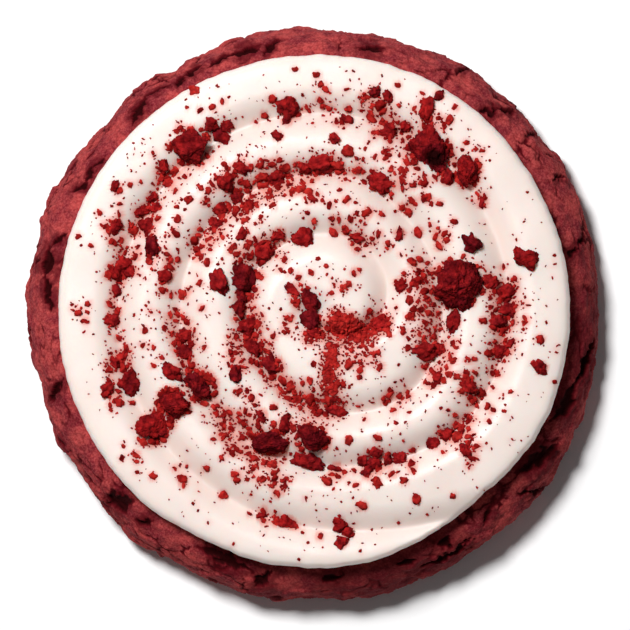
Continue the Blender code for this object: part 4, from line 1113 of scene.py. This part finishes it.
def lump(kind, seed):
    """A broken lump of cake that fills a box of side 1: flats where it broke, bites and teeth."""
    subdivisions, cuts, bite, teeth = kind
    draw = random.Random(seed)
    flats = []
    for _ in range(cuts):
        flat = Vector([draw.gauss(0.0, 1.0) for _ in range(3)]).normalized()
        flats.append((flat, draw.uniform(*FLAT_REACH)))
    bm = bmesh.new()
    bmesh.ops.create_icosphere(bm, subdivisions=subdivisions, radius=1.0)
    for vert in bm.verts:
        vert.co *= sum(abs(value) ** CRUMB_BOXINESS for value in vert.co) ** (-1 / CRUMB_BOXINESS)
        for flat, reach in flats:
            vert.co -= flat * max(0.0, vert.co.dot(flat) - reach) * FLAT_BITE
        spot = vert.co + CRUMB_VARIETY * seed
        wide = noise.fractal(spot * BITE_SCALE, *BITE_NOISE)
        fine = abs(noise.fractal(spot * TEETH_SCALE, *TEETH_NOISE))
        vert.co *= 1.0 + bite * wide - teeth * fine
    for axis in range(3):
        low = min(vert.co[axis] for vert in bm.verts)
        high = max(vert.co[axis] for vert in bm.verts)
        for vert in bm.verts:
            vert.co[axis] = (vert.co[axis] - low) / (high - low) - 0.5
    return bm


def painted_foot_shade(height_share):
    """Painted shade on a crumb at a share of its height: darkest at its foot, none on top."""
    return FOOT_SHADE * np.clip(1.0 - height_share / FOOT_SHADE_SHARE, 0.0, 1.0)


def build_large_crumb(name, place, seed, material):
    x, y, length, width, height = (value * MM for value in place[:5])
    turned = Matrix.Rotation(math.radians(place[5]), 3, "Z")
    bm = lump(LARGE_LUMP, seed)
    bmesh.ops.scale(bm, verts=bm.verts, vec=(length, width, height))
    bmesh.ops.rotate(bm, verts=bm.verts, cent=(0, 0, 0), matrix=turned)
    bmesh.ops.translate(bm, verts=bm.verts, vec=(x, y, 0.0))
    mesh = mesh_from(bm, name + "_cake")
    points = coordinates(mesh)
    points[:, :2] += np.outer(points[:, 2], CRUMB_LEAN)
    lowest = icing_height(points[:, 0], points[:, 1]) - LARGE_CRUMB_SINK
    base = icing_height(x, y)[0] + height * LARGE_CRUMB_SEAT_SHARE
    pit = hump(np.hypot(points[:, 0] - PIT_PLACE[0], points[:, 1] - PIT_PLACE[1]), PIT_REACH)
    # Painted shade: the tone rises in the pit and towards the crumb's foot
    tone = LARGE_CRUMB_TONES[name] + PIT_SHADE * pit + painted_foot_shade(points[:, 2] / height + 0.5)
    points[:, 2] -= PIT_DEPTH * pit * (points[:, 2] > 0)
    points[:, 2] = np.maximum(base + points[:, 2], lowest + np.maximum(0.0, points[:, 2]) / 2)
    move_to(mesh, points)
    set_attribute(mesh, "tone", tone)
    show(mesh, material, "cake_crumb", name)


def reach_towards(length, width, turn, direction):
    """How far an oval reaches from its centre in a direction, in degrees."""
    off = math.radians(direction - turn)
    long, wide = length / 2, width / 2
    return long * wide / math.hypot(wide * math.cos(off), long * math.sin(off))


def pushed_clear(x, y, length, width, turn):
    """A small crumb's place, moved off any large crumb that it would touch."""
    for big_x, big_y, big_length, big_width, _, big_turn in LARGE_CRUMBS.values():
        away = Vector((x - big_x * MM, y - big_y * MM))
        direction = math.degrees(math.atan2(away.y, away.x))
        needed = reach_towards(length, width, turn, direction) * CLEAR_SHARE
        needed += reach_towards(big_length * MM, big_width * MM, big_turn, direction)
        if away.length < needed:
            away = away.normalized() * needed
            x = big_x * MM + away.x
            y = big_y * MM + away.y
    return x, y


def lump_arrays(kind, seed):
    bm = lump(kind, seed)
    points = np.array([vert.co[:] for vert in bm.verts])
    faces = np.array([[vert.index for vert in face.verts] for face in bm.faces])
    bm.free()
    return points, faces


def joined_lumps(name, kind, seeds, places, material, smooth=False):
    """One mesh of many crumbs. Each place is x, y, length, width, height, turn, tip and tone."""
    lumps = [lump_arrays(kind, seed) for seed in seeds]
    drawn = []
    faces = []
    tones = []
    start = 0
    grounds = icing_height(*np.array([place[:2] for place in places]).T)
    for index, (x, y, length, width, height, turn, tip, tone) in enumerate(places):
        shape, shape_faces = lumps[index % len(lumps)]
        turned = Matrix.Rotation(math.radians(turn), 3, "Z")
        turned = turned @ Matrix.Rotation(math.radians(tip), 3, "X")
        points = (shape * (length, width, height)) @ np.array(turned).T
        points[:, :2] += np.outer(points[:, 2], CRUMB_LEAN)
        points += (x, y, grounds[index] + height * CRUMB_SEAT_SHARE)
        drawn.append(points)
        faces.append(shape_faces + start)
        # Painted shade: each crumb darker towards its foot
        tones.append(tone + painted_foot_shade(shape[:, 2] + 0.5))
        start += len(points)
    points = np.concatenate(drawn)
    triangles = np.concatenate(faces)
    mesh = bpy.data.meshes.new(name)
    mesh.vertices.add(len(points))
    mesh.loops.add(triangles.size)
    mesh.polygons.add(len(triangles))
    mesh.polygons.foreach_set("loop_start", np.arange(0, triangles.size, 3, dtype=np.int32))
    mesh.loops.foreach_set("vertex_index", triangles.ravel().astype(np.int32))
    mesh.update(calc_edges=True)
    if smooth:
        mesh.shade_smooth()
    else:
        mesh.shade_flat()
    move_to(mesh, points)
    set_attribute(mesh, "tone", np.concatenate(tones))
    show(mesh, material, "cake_crumb", "icing")


def medium_places():
    """The listed crumbs, clear of the large ones."""
    for x, y, length, width, turn, tone in MEDIUM_CRUMBS:
        x, y = pushed_clear(x * MM, y * MM, length * MM, width * MM, turn)
        height = width * MM * MEDIUM_CRUMB_HEIGHT_SHARE
        yield x, y, length * MM, width * MM, height, turn, 0.0, tone


def picked(draw, value):
    """A value that may be given as the two ends of a random draw."""
    return draw.uniform(*value) if isinstance(value, tuple) else value


def skewed(draw, ends, skew):
    """A random draw between two ends that favours the low one."""
    low, high = ends
    return low + (high - low) * draw.random() ** skew


def crumb_place(draw, x, y, length, kind):
    """One crumb of a kind, turned at random: a place for joined_lumps."""
    width, height, tip, tone = kind
    shape = (length, length * picked(draw, width), length * picked(draw, height))
    return x, y, *shape, draw.uniform(0, 180), picked(draw, tip), picked(draw, tone)


def drift_places():
    """Small crumbs along the groove's drifts."""
    draw = random.Random(DRIFT_SEED)
    for start, end, inside, outside, count in DRIFTS:
        for _ in range(round(count * DRIFT_CROWDING)):
            turned = draw.gauss((start + end) / 2, DRIFT_SPREAD * (end - start))
            away = draw.gauss((inside + outside) / 2, DRIFT_SPREAD * (outside - inside)) * MM
            radius = np.interp(turned, GROOVE_DEGREES, GROOVE_RADII) + away
            x, y, _ = ring_points(max(0.0, radius), TAIL_ANGLE - turned, 0.0)
            yield crumb_place(draw, x, y, skewed(draw, DRIFT_CRUMB_LENGTH, DRIFT_CRUMB_SKEW), DRIFT_KIND)


def pile_places():
    """Finer crumbs heaped in oval piles, thickest in their middles."""
    draw = random.Random(PILE_SEED)
    for x, y, length, width, turn, count in PILES:
        heading = math.radians(turn)
        for _ in range(count):
            around = draw.uniform(0.0, math.tau)
            out = draw.random() ** PILE_THINNING
            along = out * math.cos(around) * length / 2
            across = out * math.sin(around) * width / 2
            spot_x = x * MM + (along * math.cos(heading) - across * math.sin(heading)) * MM
            spot_y = y * MM + (along * math.sin(heading) + across * math.cos(heading)) * MM
            size = skewed(draw, PILE_CRUMB_LENGTH, PILE_CRUMB_SKEW)
            yield crumb_place(draw, spot_x, spot_y, size, PILE_KIND)


def strewn_places():
    """Small crumbs strewn over the whole icing, almost to its edge."""
    draw = random.Random(STREWN_SEED)
    for _ in range(STREWN_CRUMBS):
        radius = (ICING_RADIUS - STREWN_EDGE) * math.sqrt(draw.random())
        x, y, _ = ring_points(radius, draw.uniform(0, 360), 0.0)
        yield crumb_place(draw, x, y, skewed(draw, STREWN_LENGTH, STREWN_SKEW), STREWN_KIND)


def fringe_places():
    """Chips round the foot of each large crumb."""
    draw = random.Random(FRINGE_SEED)
    for big_x, big_y, big_length, big_width, _, big_turn in LARGE_CRUMBS.values():
        for _ in range(FRINGE_CRUMBS):
            direction = draw.uniform(0, 360)
            away = reach_towards(big_length, big_width, big_turn, direction) * draw.uniform(*FRINGE_AWAY)
            x = (big_x + away * math.cos(math.radians(direction))) * MM
            y = (big_y + away * math.sin(math.radians(direction))) * MM
            yield crumb_place(draw, x, y, draw.uniform(*FRINGE_LENGTH) * MM, FRINGE_KIND)


def dust_places(crumbs):
    """Specks that lie round the small crumbs."""
    draw = random.Random(DUST_SEED)
    for place in crumbs:
        for _ in range(int(DUST_PER_CRUMB + draw.random())):
            x = place[0] + draw.gauss(0.0, DUST_SPREAD)
            y = place[1] + draw.gauss(0.0, DUST_SPREAD)
            if math.hypot(x, y) <= ICING_RADIUS - DUST_EDGE:
                yield crumb_place(draw, x, y, draw.uniform(*DUST_LENGTH), DUST_KIND)


# Stage


def build_stage():
    bm = bmesh.new()
    bmesh.ops.create_grid(bm, x_segments=1, y_segments=1, size=FLOOR_REACH)
    bmesh.ops.translate(bm, verts=bm.verts, vec=(0.0, 0.0, -FLOOR_DROP))
    floor = bpy.data.objects.new("floor", mesh_from(bm, "floor"))
    bpy.context.scene.collection.objects.link(floor)
    material = bpy.data.materials.new("white_floor")
    material.use_nodes = True
    shader = material.node_tree.nodes["Principled BSDF"]
    shader.inputs["Base Color"].default_value = WHITE
    shader.inputs["Roughness"].default_value = 1.0
    shader.inputs["Specular IOR Level"].default_value = 0.0
    floor.data.materials.append(material)


def build_light():
    world = bpy.data.worlds.new("studio")
    world.use_nodes = True
    sky = world.node_tree.nodes["Background"].inputs
    sky["Color"].default_value = WHITE
    sky["Strength"].default_value = SKY_STRENGTH
    bpy.context.scene.world = world
    key = bpy.data.lights.new("key", "AREA")
    key.shape = "DISK"
    key.size = KEY_SIZE
    key.energy = KEY_POWER
    around = math.radians(KEY_AZIMUTH)
    up = math.radians(KEY_ELEVATION)
    flat = math.cos(up)
    towards = Vector((math.cos(around) * flat, math.sin(around) * flat, math.sin(up)))
    lamp = bpy.data.objects.new("key", key)
    lamp.location = towards * KEY_DISTANCE
    lamp.rotation_euler = towards.to_track_quat("Z", "Y").to_euler()
    bpy.context.scene.collection.objects.link(lamp)


def build_camera():
    middle = FRAME_PIXELS / 2
    width = FRAME_PIXELS * MM_PER_PIXEL * MM
    camera = bpy.data.cameras.new("camera")
    camera.sensor_width = SENSOR_WIDTH
    camera.lens = SENSOR_WIDTH * (CAMERA_HEIGHT - WIDEST_AT) / width
    camera.clip_end = CAMERA_REACH
    holder = bpy.data.objects.new("camera", camera)
    holder.location = (
        (middle - COOKIE_CENTRE_PIXEL[0]) * MM_PER_PIXEL * MM,
        (COOKIE_CENTRE_PIXEL[1] - middle) * MM_PER_PIXEL * MM,
        CAMERA_HEIGHT,
    )
    bpy.context.scene.collection.objects.link(holder)
    bpy.context.scene.camera = holder
    bpy.context.scene.view_settings.view_transform = "Standard"


def main():
    grain = cake_grain_group()
    mottle = mottle_group()
    looks = {
        "red_velvet_crumb": (LARGE_CRUMB_BRIGHT, LARGE_CRUMB_DARK, LARGE_CRUMB_RELIEF),
        "red_velvet_fine_crumb": (SMALL_CRUMB_BRIGHT, SMALL_CRUMB_DARK, SMALL_CRUMB_RELIEF),
    }
    crumb, fine = (crumb_material(name, grain, mottle, *look) for name, look in looks.items())
    build_camera()
    build_light()
    build_stage()
    build_cookie(cookie_material(grain, mottle))
    medium = list(medium_places())
    heaped = list(drift_places()) + list(pile_places()) + list(fringe_places())
    small = heaped + list(strewn_places())
    dust = list(dust_places(heaped))
    spots = np.array([place[:3] for place in medium + small + dust])
    build_icing(icing_material(mottle), spots)
    for index, (name, place) in enumerate(LARGE_CRUMBS.items()):
        build_large_crumb(name, place, LARGE_CRUMB_SEED + index, crumb)
    wide = [place for place in medium if place[2] >= WIDE_CRUMB]
    chips = [place for place in medium if place[2] < WIDE_CRUMB]
    loose = [place for place in small if place[2] >= FINE_CRUMB]
    dust = [place for place in small if place[2] < FINE_CRUMB] + dust
    joined_lumps("medium_crumbs", MEDIUM_LUMP, range(len(wide)), wide, crumb, smooth=True)
    joined_lumps("chips", CHIP_LUMP, CHIP_LUMPS, chips, fine, smooth=True)
    joined_lumps("small_crumbs", SMALL_LUMP, SMALL_LUMPS, loose, fine)
    joined_lumps("crumb_dust", DUST_LUMP, DUST_LUMPS, dust, fine)


main()
